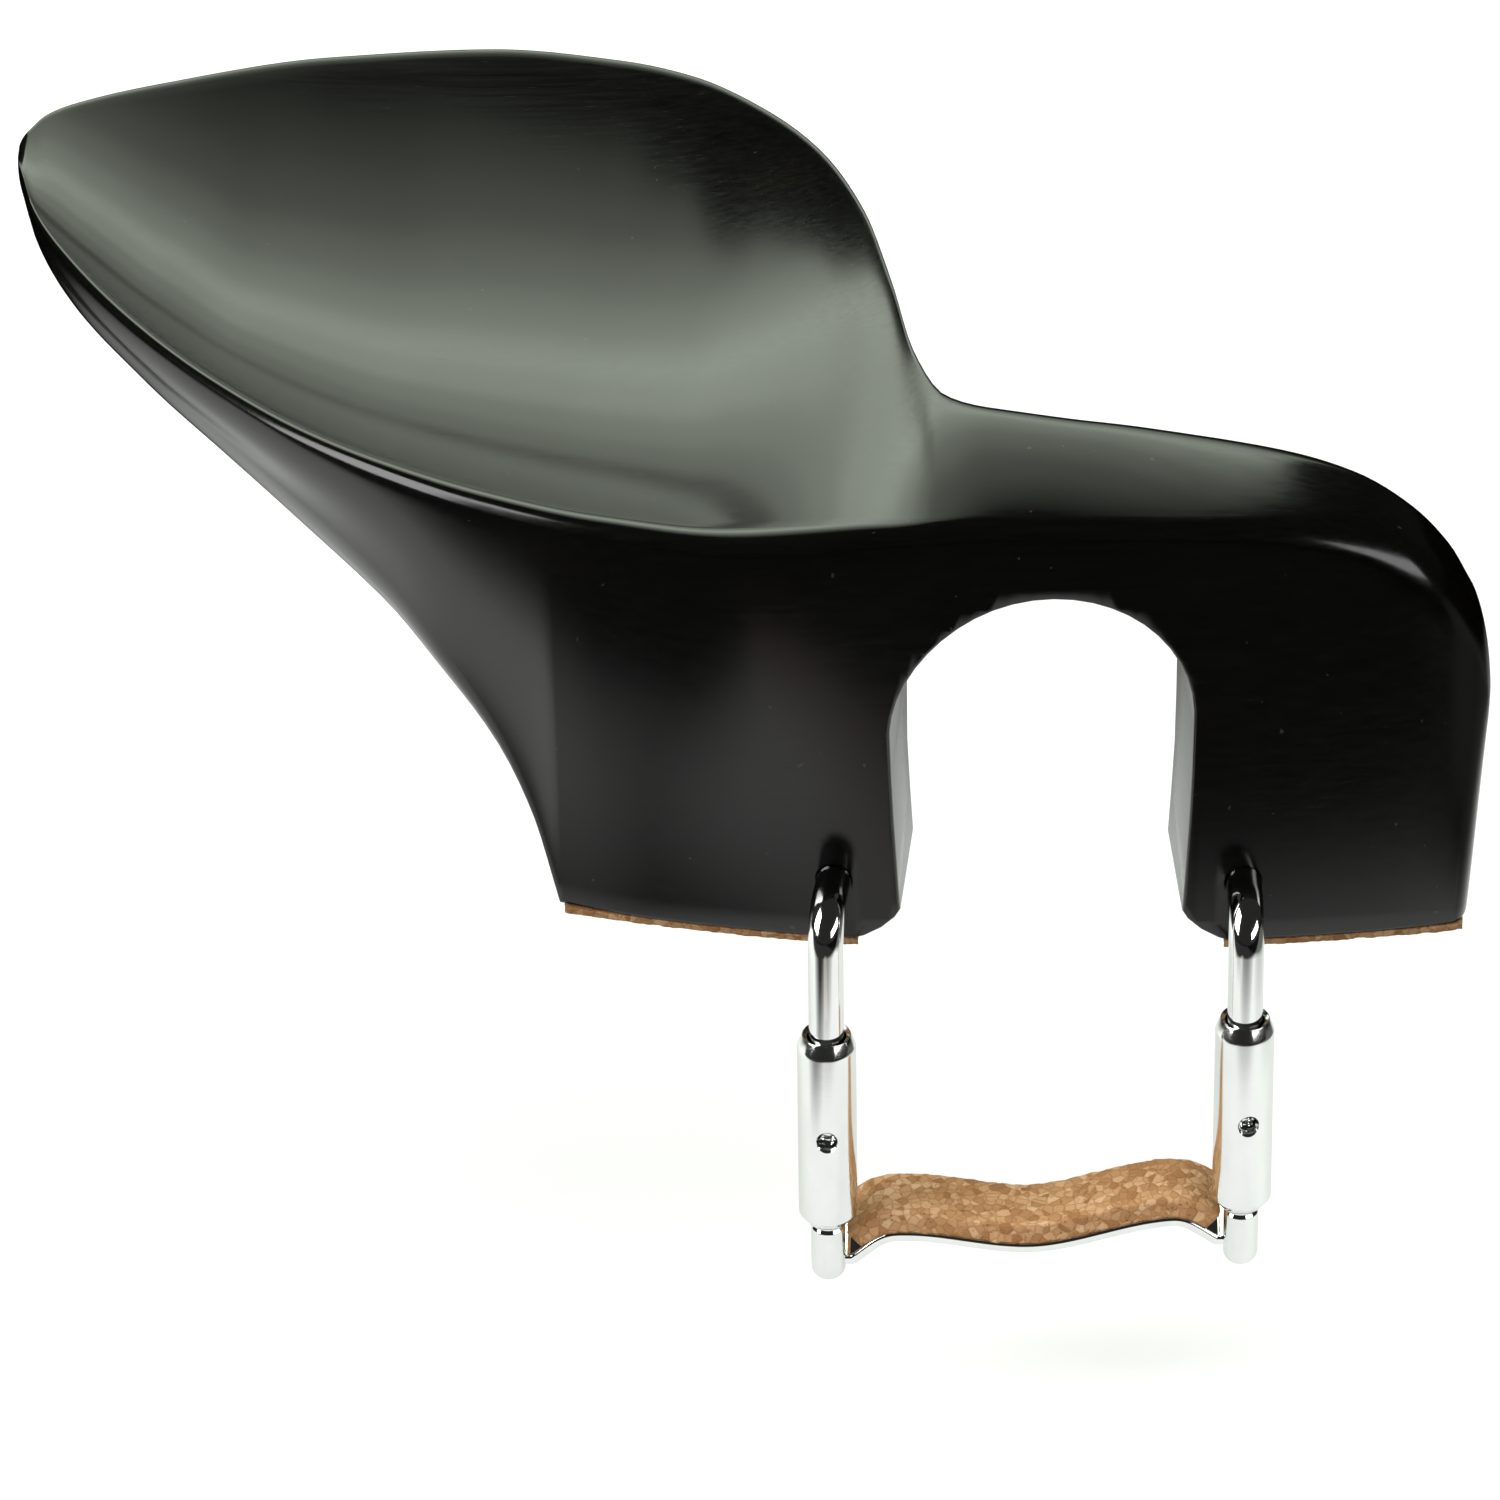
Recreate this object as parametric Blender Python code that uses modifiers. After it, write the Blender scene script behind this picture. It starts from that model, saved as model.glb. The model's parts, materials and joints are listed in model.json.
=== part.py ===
"""Violin chin rest that straddles the tailpiece, with its two-post turnbuckle clamp.

Frame: X runs along the violin's end, Y from the player into the violin, Z up.
The origin lies midway between the two clamp posts, level with the underside of the foot corks,
and Y = 0 is the foremost line of the wooden front face. Named sizes are in millimetres.
"""
import math

import bmesh
import bpy
import numpy as np
from mathutils import Matrix, Vector

MM = 0.001

# ---- driving sizes ----
POST_X = 17.0                 # each clamp post stands this far from the middle
POST_Y = -4.5                 # and this far in front of the wood
CORK = 0.4                    # foot cork thickness
WOOD_Z = 0.6                  # underside of the wooden feet
FOOT_DEPTH = 12.6
FACE_RADIUS = (142.0, 185.0)  # plan curve of the front face, left and right of its apex
FACE_APEX = 0.6               # where that curve comes furthest forward

ARCH_X = 0.45
ARCH_HALF = 12.25             # half width of the tailpiece arch at the front face
ARCH_TAPER = 0.085            # how much each wall closes in, per millimetre of depth
ARCH_SPRING = 21.0
ARCH_RISE = 12.05
ARCH_LEAN = 0.07              # the crown leans to the right by this much of its height
ARCH_CLOSE = 0.75             # each wall closes in by this much on its way down to the foot
ARCH_CORNER = (4.0, 3.1)      # width and height of the eased chamfer on the feet's inner corners
ARCH_EASE = 1.43              # 1 would round that chamfer right over, 2 leave it flat

ROD_R = 1.45
HOLE_Z = 6.4                  # height of the hook holes
HOLE_R = 1.75
HOLE_DEPTH = 9.0
BEND_R = 3.1
ROD_IN_BARREL = 15.4

BARREL_R = 2.42
BARREL_BORE = 1.72
BARREL_LENGTH = 18.5
KEY_HOLE_R = 0.85

STUD_R = 1.4
STUD_IN_BARREL = 2.4
STUD_SHOWING = 5.8

STRIP_FRONT = -4.8            # front edge of the bracket strip
STRIP_DEPTH = 6.1
STRIP_THICK = 0.9
STRIP_END = 14.9
STRIP_SLOPE = 0.07            # the left post is opened a little more than the right one
STRIP_Z = -24.95              # underside of the strip at its shoulders
PAD_THICK = 1.7
PAD_END = 13.2
GAP = 0.2                     # play left between two pieces that are glued or pressed together

# each side: post x, height of the barrel's top, plan angle of the hook's leg, turn of the key hole
SIDES = {
    "left": {"x": -POST_X, "barrel_top": -5.0, "leg_angle": 6.5, "key_turn": 0.0},
    "right": {"x": POST_X, "barrel_top": -3.3, "leg_angle": -1.0, "key_turn": 10.0},
}

# ---- rails of the carved body: each is a smooth line along X through these points ----
LIP = [  # front edge of the top: x, y, z
    (-85.2, 52.0, 43.2), (-83.8, 46.4, 43.2), (-80.5, 39.3, 43.0), (-74.0, 29.6, 42.3), (-67.0, 21.3, 41.8),
    (-60.0, 14.4, 41.5), (-53.0, 9.2, 41.3), (-44.0, 4.4, 40.9), (-35.0, 0.9, 40.7), (-23.0, -1.3, 40.2),
    (-12.0, -0.4, 39.9), (-3.0, 0.7, 39.55), (13.0, 1.3, 39.25), (20.0, 1.9, 38.85), (25.5, 2.6, 37.7),
    (30.0, 3.3, 35.1), (33.2, 4.3, 31.4), (35.2, 5.4, 27.0)]
RIM = [  # back edge of the top: x, y, z
    (-85.2, 59.4, 44.2), (-83.8, 61.3, 44.8), (-80.5, 63.2, 45.4), (-74.0, 65.7, 46.0), (-60.0, 69.6, 46.6),
    (-46.0, 70.9, 46.7), (-35.0, 69.3, 46.4), (-29.0, 66.9, 46.2), (-23.0, 62.0, 45.8), (-18.0, 55.6, 45.2),
    (-14.2, 46.8, 44.2), (-11.8, 36.2, 43.3), (-10.0, 25.6, 43.0), (-7.4, 17.6, 43.3), (-3.0, 14.7, 43.75),
    (5.0, 13.5, 43.25), (13.0, 13.2, 42.2), (20.0, 13.3, 40.7), (25.5, 13.6, 38.45), (30.0, 13.7, 35.3),
    (33.2, 13.4, 31.9), (35.2, 12.6, 28.6)]
BOWL = [  # height of the top over its chord at one third and at two thirds of the way back: x, d1, d2
    (-85.2, -0.3, -0.2), (-80.5, -2.6, -1.6), (-74.0, -5.4, -3.2), (-67.0, -7.8, -4.6), (-53.0, -9.4, -6.4),
    (-39.0, -9.0, -7.0), (-29.0, -7.4, -6.4), (-23.0, -4.8, -5.4), (-18.0, -2.4, -4.0), (-11.8, 0.2, -0.8),
    (-7.4, 0.7, 0.7), (5.0, 0.5, 0.6), (13.0, 0.5, 0.6), (25.5, 0.7, 0.7), (35.2, 0.4, 0.4)]
KEEL = [  # front edge of the underside, down to the left foot: x, y, z
    (-85.2, 53.0, 40.6), (-83.8, 48.0, 39.0), (-80.5, 41.8, 36.4), (-74.0, 34.0, 33.2), (-67.0, 26.4, 30.6),
    (-60.0, 19.0, 27.9), (-53.0, 12.6, 24.6), (-48.0, 9.0, 20.2), (-44.0, 7.4, 15.2), (-41.0, 6.5, 8.6),
    (-39.0, 6.0, WOOD_Z)]
HEEL = [  # back edge of the underside: x, y, z
    (-85.2, 56.0, 40.6), (-80.5, 47.0, 36.0), (-74.0, 40.0, 32.0), (-67.0, 33.5, 28.9), (-60.0, 27.5, 25.9),
    (-53.0, 22.5, 22.3), (-48.0, 19.5, 17.9), (-44.0, 18.4, 12.9), (-41.0, 18.0, 7.0), (-39.0, 17.8, WOOD_Z)]
HEEL_UPRIGHT = [(-85.2, 0.1), (-60.0, 1.0), (-48.0, 4.0), (-39.0, 12.0), (25.5, 12.0), (35.2, 8.0)]
UNDER_OUTER = [  # the hollow behind the feet, near the rim: x, y, z
    (-85.2, 57.5, 41.0), (-74.0, 58.5, 38.8), (-53.0, 55.5, 35.6), (-35.0, 51.5, 34.6), (-23.0, 44.5, 34.2),
    (-14.2, 36.0, 34.4), (-10.0, 22.0, 33.0), (-3.0, 16.6, 30.5), (13.0, 15.4, 29.0), (25.5, 15.2, 27.0),
    (35.2, 13.4, 19.0)]
UNDER_INNER = [  # and near the feet: x, y, z
    (-85.2, 56.5, 40.7), (-80.5, 51.0, 36.4), (-67.0, 43.0, 28.9), (-53.0, 38.0, 25.8), (-44.0, 30.0, 27.0),
    (-35.0, 23.0, 27.0), (-18.0, 18.0, 25.0), (-3.0, 14.6, 22.0), (25.5, 14.6, 18.0), (35.2, 13.6, 13.0)]
LIP_ROUND = [(-85.2, 1.2), (-74.0, 2.4), (-40.0, 2.6), (-25.0, 2.6), (-8.0, 1.4), (13.0, 1.3), (25.5, 2.2), (35.2, 3.2)]
RIM_ROUND = [(-85.2, 1.2), (-74.0, 2.0), (-53.0, 2.4), (5.0, 2.4), (30.0, 3.2), (35.2, 3.0)]
EDGE_ROUND = [(-85.2, 0.8), (-74.0, 3.0), (-60.0, 4.5), (-53.0, 4.0), (-44.0, 1.6), (-39.0, 0.4), (35.2, 0.4)]
FOOT_START = -39.0
# each end runs on past its last rail point, closes in towards a centre and turns over: how far it
# runs, the centre (y, z), the share of each size left there, and how evenly it closes in at first
TIP = {"reach": -0.69, "centre": (57.4, 42.7), "keep": (0.12, 0.2), "ease": (0.55, 0.5)}
END = {"reach": 1.6, "centre": (11.0, WOOD_Z), "keep": (0.62, 0.69), "ease": (0.25, 0.43)}
SIDE_DRAFT = 1.5              # the right side leans in by this much towards its foot

SECTIONS = 46
STEPS = {"edge": 2, "face": 7, "lip": 3, "top": 12, "rim": 4, "under": 10, "upright": 2, "base": 3}
END_STEPS = 4


# ---- small helpers ----
def material(name, colour, roughness, metallic=0.0):
    made = bpy.data.materials.new(name)
    made.use_nodes = True
    shader = made.node_tree.nodes["Principled BSDF"]
    shader.inputs["Base Color"].default_value = (*colour, 1.0)
    shader.inputs["Roughness"].default_value = roughness
    shader.inputs["Metallic"].default_value = metallic
    return made


def add_object(name, data, collection, look=None):
    made = bpy.data.objects.new(name, data)
    collection.objects.link(made)
    if look:
        data.materials.append(look)
    return made


def mesh_from(name, points, faces):
    """A mesh in metres from points in millimetres, with its faces turned outward."""
    mesh = bpy.data.meshes.new(name)
    mesh.from_pydata([tuple(float(v) * MM for v in point) for point in points], [], faces)
    work = bmesh.new()
    work.from_mesh(mesh)
    bmesh.ops.recalc_face_normals(work, faces=work.faces)
    if work.calc_volume(signed=True) < 0.0:
        bmesh.ops.reverse_faces(work, faces=work.faces)
    work.to_mesh(mesh)
    work.free()
    return mesh


def cut(target, cutter):
    modifier = target.modifiers.new("cut_" + cutter.name, "BOOLEAN")
    modifier.operation = "DIFFERENCE"
    modifier.solver = "EXACT"
    modifier.object = cutter


def smooth_line(rail, at):
    """Monotone cubic through a rail's points, read at the given x; one column for each value."""
    table = np.array(rail, float)
    knots = table[:, 0]
    step = np.diff(knots)
    columns = []
    for value in table[:, 1:].T:
        rise = np.diff(value) / step
        slope = np.concatenate([rise[:1], np.zeros(len(rise) - 1), rise[-1:]])
        for i in range(1, len(rise)):
            if rise[i - 1] * rise[i] > 0.0:
                before = 2 * step[i] + step[i - 1]
                after = step[i] + 2 * step[i - 1]
                slope[i] = (before + after) / (before / rise[i - 1] + after / rise[i])
        k = np.clip(np.searchsorted(knots, at) - 1, 0, len(step) - 1)
        t = np.clip((at - knots[k]) / step[k], 0.0, 1.0)
        columns.append((1 + 2 * t) * (1 - t) ** 2 * value[k] + t * (1 - t) ** 2 * step[k] * slope[k]
                       + t * t * (3 - 2 * t) * value[k + 1] + t * t * (t - 1) * step[k] * slope[k + 1])
    return np.column_stack(columns)


# ---- the carved body ----
def face_line(x):
    """Plan curve of the front face at the feet."""
    radius = np.where(x < FACE_APEX, FACE_RADIUS[0], FACE_RADIUS[1])
    return (x - FACE_APEX) ** 2 / (2 * radius)


def section_places(count):
    """X of the sections, closer together at the tip, the left foot, the cup's right side and the end."""
    first, last = LIP[0][0], LIP[-1][0]
    fine = np.linspace(first, last, 2001)
    density = (1 + 3 * np.exp((first - fine) / 3) + 2 * np.exp(-((fine + 12.5) / 4) ** 2)
               + 1.6 * np.exp(-((fine - FOOT_START) / 3) ** 2) + 2 * np.exp((fine - last) / 4))
    share = np.cumsum(density)
    share = (share - share[0]) / (share[-1] - share[0])
    places = np.interp(np.linspace(0, 1, count), share, fine)
    places[np.argmin(abs(places - FOOT_START))] = FOOT_START
    return places


def unit(vector):
    return vector / np.linalg.norm(vector)


def bezier(a, b, c, d, steps):
    """Points of a cubic, without its last one."""
    t = np.linspace(0, 1, steps + 1)[:-1, None]
    return (1 - t) ** 3 * a + 3 * t * (1 - t) ** 2 * b + 3 * t * t * (1 - t) * c + t ** 3 * d


def rounded(corner, arrive, leave, radius, steps):
    """A corner rounded off: where it starts, where it ends, and the points between."""
    start = corner - arrive * radius
    end = corner + leave * radius
    pull = 0.55 * radius
    return start, end, bezier(start, start + arrive * pull, end - leave * pull, end, steps)


def section(rails, steps):
    """One closed (y, z) outline: front edge, face, lip, top, rim, underside, foot's back, base."""
    keel, heel, lip, rim = rails["keel"], rails["heel"], rails["lip"], rails["rim"]
    edge = rails["edge"]
    chord = rim - lip
    widest = np.linalg.norm(chord) / 3
    lip_round, rim_round = min(rails["lip_round"], widest), min(rails["rim_round"], widest)
    top_front = lip + chord / 3 + np.array([0.0, rails["bowl"][0] * 4 / 3])
    top_back = lip + chord * 2 / 3 + np.array([0.0, rails["bowl"][1] * 4 / 3])
    upright = heel + np.array([0.0, max(rails["upright"], edge * 1.2)])
    lean = min(1.0, (edge - 0.4) / 3.0)
    rise = unit(lean * unit(lip - keel) + (1 - lean) * np.array([0.0, 1.0]))
    arrive_lip = unit(np.array([0.15 * unit(lip - keel)[0], 1.0]))
    base = unit(keel - heel)
    leave_rim = unit(unit(rails["outer"] - rim) + np.array([0.0, -0.6]))
    keel_in, keel_out, keel_arc = rounded(keel, base, rise, edge, steps["edge"])
    lip_in, lip_out, lip_arc = rounded(lip, arrive_lip, unit(top_front - lip), lip_round, steps["lip"])
    rim_in, rim_out, rim_arc = rounded(rim, unit(rim - top_back), leave_rim, rim_round, steps["rim"])
    heel_in, heel_out, heel_arc = rounded(heel, unit(heel - upright), base, edge, steps["edge"])
    height = np.linalg.norm(lip_in - keel_out)
    face = bezier(keel_out, keel_out + rise * height * 0.35, lip_in - arrive_lip * height * 0.4, lip_in,
                  steps["face"])
    top = bezier(lip_out, top_front, top_back, rim_in, steps["top"])
    under = bezier(rim_out, rails["outer"], rails["inner"], upright, steps["under"])
    back = bezier(upright, upright + (heel_in - upright) / 3, upright + (heel_in - upright) * 2 / 3, heel_in,
                  steps["upright"])
    bottom = bezier(heel_out, heel_out + (keel_in - heel_out) / 3, heel_out + (keel_in - heel_out) * 2 / 3,
                    keel_in, steps["base"])
    return np.vstack([keel_arc, face, lip_arc, top, rim_arc, under, back, heel_arc, bottom])


def body_rings(count, steps, end_steps):
    """All rings of the body, tip to right end, each a closed loop of (x, y, z)."""
    at = section_places(count)
    foot = at > FOOT_START
    keel = smooth_line(KEEL, at)
    keel[foot] = np.column_stack([face_line(at[foot]), np.full(foot.sum(), WOOD_Z)])
    join = smooth_line([(FOOT_START, 1.0), (FOOT_START + 8, 0.0), (40.0, 0.0)], at)[:, 0]
    keel[foot, 0] += join[foot] * (KEEL[-1][1] - face_line(FOOT_START))
    heel = smooth_line(HEEL, at)
    heel[foot] = np.column_stack([face_line(at[foot]) + FOOT_DEPTH, np.full(foot.sum(), WOOD_Z)])
    heel[foot, 0] += join[foot] * (HEEL[-1][1] - face_line(FOOT_START) - FOOT_DEPTH)
    lines = {"lip": smooth_line(LIP, at), "rim": smooth_line(RIM, at), "bowl": smooth_line(BOWL, at),
             "keel": keel, "heel": heel, "outer": smooth_line(UNDER_OUTER, at),
             "inner": smooth_line(UNDER_INNER, at)}
    single = {"upright": HEEL_UPRIGHT, "lip_round": LIP_ROUND, "rim_round": RIM_ROUND, "edge": EDGE_ROUND}
    for name, rail in single.items():
        lines[name] = smooth_line(rail, at)[:, 0]
    rings = []
    for i, x in enumerate(at):
        outline = section({name: line[i] for name, line in lines.items()}, steps)
        rings.append(np.column_stack([np.full(len(outline), x), outline]))
    left = rounded_end(rings[0], TIP, end_steps)[::-1]
    right = rounded_end(rings[-1], END, end_steps)
    rings = np.array(left + rings + right)
    reach = np.clip((rings[..., 0] - 27.0) / 9.8, 0, 1) ** 2
    low = np.clip(1 - (rings[..., 2] - WOOD_Z) / 20.0, 0, 1)
    rings[..., 0] -= SIDE_DRAFT * reach * low
    return rings


def rounded_end(ring, end, steps):
    """Shrinking copies of an end ring, which carry on its taper and turn over."""
    copies = []
    for turn in np.linspace(0, math.pi / 2, steps + 1)[1:]:
        copy = ring.copy()
        copy[:, 0] += end["reach"] * math.sin(turn)
        for axis in (0, 1):
            centre = end["centre"][axis]
            closed = end["ease"][axis] * math.sin(turn) + (1 - end["ease"][axis]) * (1 - math.cos(turn))
            scale = 1 - closed * (1 - end["keep"][axis])
            copy[:, axis + 1] = centre + (ring[:, axis + 1] - centre) * scale
        copies.append(copy)
    return copies


def loft_faces(ring_count, size, across):
    """Quads between neighbouring rings, and each end closed by strips between its two sides."""
    faces = []
    for i in range(ring_count - 1):
        for j in range(size):
            k = (j + 1) % size
            faces.append((i * size + j, (i + 1) * size + j, (i + 1) * size + k, i * size + k))
    for first in (0, (ring_count - 1) * size):
        near, far = across, across - 1
        while near - far < size - 1:
            step_far = (far - 1) % size
            step_near = (near + 1) % size
            loop = [first + far % size, first + near % size]
            if step_near != far % size:
                loop.append(first + step_near)
            if step_far != step_near:
                loop.append(first + step_far)
            faces.append(tuple(dict.fromkeys(loop)))
            near += 1
            far -= 1
    return faces


def arch_outline():
    """Round arch over walls that close in downwards, with chamfered corners at the feet: (x, z)."""
    turns = np.linspace(0, math.pi / 2, 5)
    corner = [(ARCH_CORNER[0] * (1 - math.sin(t) ** ARCH_EASE),
               WOOD_Z - 0.03 + ARCH_CORNER[1] * (1 - math.cos(t) ** ARCH_EASE)) for t in turns]
    corner = [(ARCH_CORNER[0], WOOD_Z - 3.0)] + corner
    foot = corner[-1][1]
    wall = [(0.0, foot + (ARCH_SPRING - foot) * k / 4) for k in (1, 2, 3)]
    side = []
    for out, z in corner + wall:
        drop = max(0.0, (ARCH_SPRING - z) / (ARCH_SPRING - foot))
        side.append((ARCH_HALF + out - ARCH_CLOSE * min(1.0, drop) ** 1.5, z))
    crown = []
    for t in np.linspace(math.pi, 0, 25):
        rise = ARCH_RISE * math.sin(t)
        crown.append((ARCH_HALF * math.cos(t) + ARCH_LEAN * rise, ARCH_SPRING + rise))
    return [(-x, z) for x, z in side] + crown + side[::-1]


def build_chin_plate(parts, cutters, look):
    rings = body_rings(SECTIONS, STEPS, END_STEPS)
    across = STEPS["edge"] + STEPS["face"] + STEPS["lip"] // 2 + 1
    faces = loft_faces(len(rings), rings.shape[1], across)
    plate = add_object("chin_plate", mesh_from("chin_plate", rings.reshape(-1, 3), faces), parts, look)

    outline = arch_outline()
    count = len(outline)
    points = []
    for y in (-8.0, 40.0):
        squeeze = 1 - ARCH_TAPER * y / ARCH_HALF
        points += [(ARCH_X + x * squeeze, y, z) for x, z in outline]
    sides = [(i, (i + 1) % count, count + (i + 1) % count, count + i) for i in range(count)]
    caps = [tuple(range(count)), tuple(range(2 * count - 1, count - 1, -1))]
    arch = add_object("arch_cutter", mesh_from("arch_cutter", points, sides + caps), cutters)
    cut(plate, arch)

    for side, place in SIDES.items():
        drill = cylinder(side + "_hole_cutter", HOLE_R, HOLE_DEPTH + 3.0, 24, cutters)
        middle, turn = hook_leg(place, (HOLE_DEPTH - 3.0) / 2)
        drill.matrix_world = Matrix.Translation(middle) @ turn
        cut(plate, drill)


def cylinder(name, radius, length, sides, collection, look=None):
    work = bmesh.new()
    bmesh.ops.create_cone(work, cap_ends=True, segments=sides, radius1=radius * MM, radius2=radius * MM,
                          depth=length * MM)
    mesh = bpy.data.meshes.new(name)
    work.to_mesh(mesh)
    work.free()
    return add_object(name, mesh, collection, look)


# ---- hooks, barrels and the bracket ----
def hook_leg(place, depth):
    """A point on the hook's leg at this depth behind the face, and the turn that lays +Z along it."""
    angle = math.radians(place["leg_angle"])
    ahead = Vector((math.sin(angle), math.cos(angle), 0.0))
    start = Vector((place["x"], POST_Y, HOLE_Z))
    point = start + ahead * ((depth - POST_Y) / math.cos(angle))
    turn = ahead.to_track_quat("Z", "Y").to_matrix().to_4x4()
    return point * MM, turn


def build_hook(side, place, parts, look):
    """A rod bent at a right angle: one leg in the wood, the other down through the barrel."""
    angle = math.radians(place["leg_angle"])
    ahead = Vector((math.sin(angle), math.cos(angle), 0.0))
    post = Vector((place["x"], POST_Y, 0.0))
    points = [hook_leg(place, HOLE_DEPTH - GAP)[0] / MM]
    for turn in np.linspace(0, math.pi / 2, 9):
        out = BEND_R * (1 - math.sin(turn))
        drop = BEND_R * (1 - math.cos(turn))
        points.append(post + ahead * out + Vector((0, 0, HOLE_Z - drop)))
    points.append(post + Vector((0, 0, place["barrel_top"] - ROD_IN_BARREL)))
    curve = bpy.data.curves.new(side + "_hook", "CURVE")
    curve.dimensions = "3D"
    curve.bevel_depth = ROD_R * MM
    curve.bevel_resolution = 3
    curve.use_fill_caps = True
    spline = curve.splines.new("POLY")
    spline.points.add(len(points) - 1)
    for knot, point in zip(spline.points, points):
        knot.co = (*(point * MM), 1.0)
    add_object(side + "_hook", curve, parts, look)


def turned(name, profile, centre, sides, collection, look):
    """A profile of (radius, height) turned about the post axis at this centre."""
    mesh = bpy.data.meshes.new(name)
    points = [(radius * MM, 0.0, height * MM) for radius, height in profile]
    closed = profile[0][0] > 0.0
    edges = [(i, i + 1) for i in range(len(points) - 1)]
    if closed:
        edges.append((len(points) - 1, 0))
    mesh.from_pydata(points, edges, [])
    made = add_object(name, mesh, collection, look)
    made.location = Vector(centre) * MM
    screw = made.modifiers.new("turn", "SCREW")
    screw.axis = "Z"
    screw.steps = screw.render_steps = sides
    screw.use_merge_vertices = True
    screw.merge_threshold = 0.00001
    screw.use_normal_calculate = True
    return made


def build_barrel(side, place, parts, cutters, look):
    """Turnbuckle nut: threaded right through, dished top, chamfered foot, key hole at mid-length."""
    dish, dish_depth = 2.05, 0.5
    shoulder = 1.15
    chamfer = 0.95
    profile = [(dish, 0.0), (BARREL_R, -shoulder), (BARREL_R, -BARREL_LENGTH + chamfer),
               (BARREL_BORE + 0.05, -BARREL_LENGTH), (BARREL_BORE, -BARREL_LENGTH + 0.3),
               (BARREL_BORE, -dish_depth - 0.3), (dish - 0.1, -dish_depth)]
    barrel = turned(side + "_barrel", profile, (place["x"], POST_Y, place["barrel_top"]), 32, parts, look)
    key = cylinder(side + "_key_cutter", KEY_HOLE_R, 2 * BARREL_R + 2.0, 16, cutters)
    key.location = Vector((place["x"], POST_Y, place["barrel_top"] - BARREL_LENGTH / 2)) * MM
    key.rotation_euler = (math.pi / 2, 0.0, math.radians(place["key_turn"]))
    cut(barrel, key)


def build_stud(side, place, parts, look):
    """Round-ended post of the bracket, with its upper end in the barrel."""
    bottom = -STUD_IN_BARREL - STUD_SHOWING
    round_off = 1.0
    arc = [(STUD_R - round_off * (1 - math.cos(t)), bottom + round_off * (1 - math.sin(t)))
           for t in np.linspace(0, math.pi / 2, 5)]
    profile = [(0.0, 0.0), (STUD_R - 0.3, 0.0), (STUD_R, -0.3)] + arc + [(0.0, bottom)]
    top = place["barrel_top"] - BARREL_LENGTH + STUD_IN_BARREL
    turned(side + "_stud", profile, (place["x"], POST_Y, top), 24, parts, look)


def strip_line(x):
    """Front edge of the bracket strip's underside: its y and z."""
    sag = smooth_line([(-STRIP_END, -2.1), (-11.5, 0.0), (0.0, -1.0), (11.5, 0.0), (STRIP_END, -2.1)], x)[:, 0]
    forward = smooth_line([(-STRIP_END, 0.0), (-11.5, 0.0), (0.0, -1.2), (11.5, 0.0), (STRIP_END, 0.0)], x)[:, 0]
    return STRIP_FRONT + forward, STRIP_Z + STRIP_SLOPE * x + sag


def build_strip(name, half_length, lift, thickness, inset, parts, look):
    """A wavy band at this lift off the strip line, drawn as a sheet and thickened upward."""
    across = 4
    places = np.linspace(-half_length, half_length, 33)
    front, height = strip_line(places)
    slope = np.gradient(height, places)
    tilt = np.sqrt(1 + slope ** 2)
    places, height = places - lift * slope / tilt, height + lift / tilt
    points = []
    for x, y, z in zip(places, front, height):
        for k in range(across + 1):
            points.append((x, y + inset + (STRIP_DEPTH - 2 * inset) * k / across, z))
    faces = []
    for i in range(len(places) - 1):
        for k in range(across):
            a = i * (across + 1) + k
            faces.append((a, a + across + 1, a + across + 2, a + 1))
    sheet = bpy.data.meshes.new(name)
    sheet.from_pydata([tuple(float(v) * MM for v in point) for point in points], [], faces)
    made = add_object(name, sheet, parts, look)
    made.data.update()
    shell = made.modifiers.new("thickness", "SOLIDIFY")
    shell.thickness = thickness * MM
    shell.offset = 1.0 if made.data.polygons[0].normal.z > 0 else -1.0
    shell.use_even_offset = True


def build_foot_cork(side, first, last, parts, look):
    """A cork pad cut to the foot's outline and extruded."""
    inset = 0.25
    xs = np.linspace(first, last, 9)
    front = [(x, face_line(x) + inset) for x in xs]
    back = [(x, face_line(x) + FOOT_DEPTH - inset) for x in reversed(xs)]
    curve = bpy.data.curves.new(side + "_foot_cork", "CURVE")
    curve.dimensions = "2D"
    curve.fill_mode = "BOTH"
    curve.extrude = CORK * MM / 2
    spline = curve.splines.new("POLY")
    outline = front + back
    spline.points.add(len(outline) - 1)
    for knot, (x, y) in zip(spline.points, outline):
        knot.co = (x * MM, y * MM, 0.0, 1.0)
    spline.use_cyclic_u = True
    made = add_object(side + "_foot_cork", curve, parts, look)
    made.location = (0.0, 0.0, CORK * MM / 2)


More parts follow.
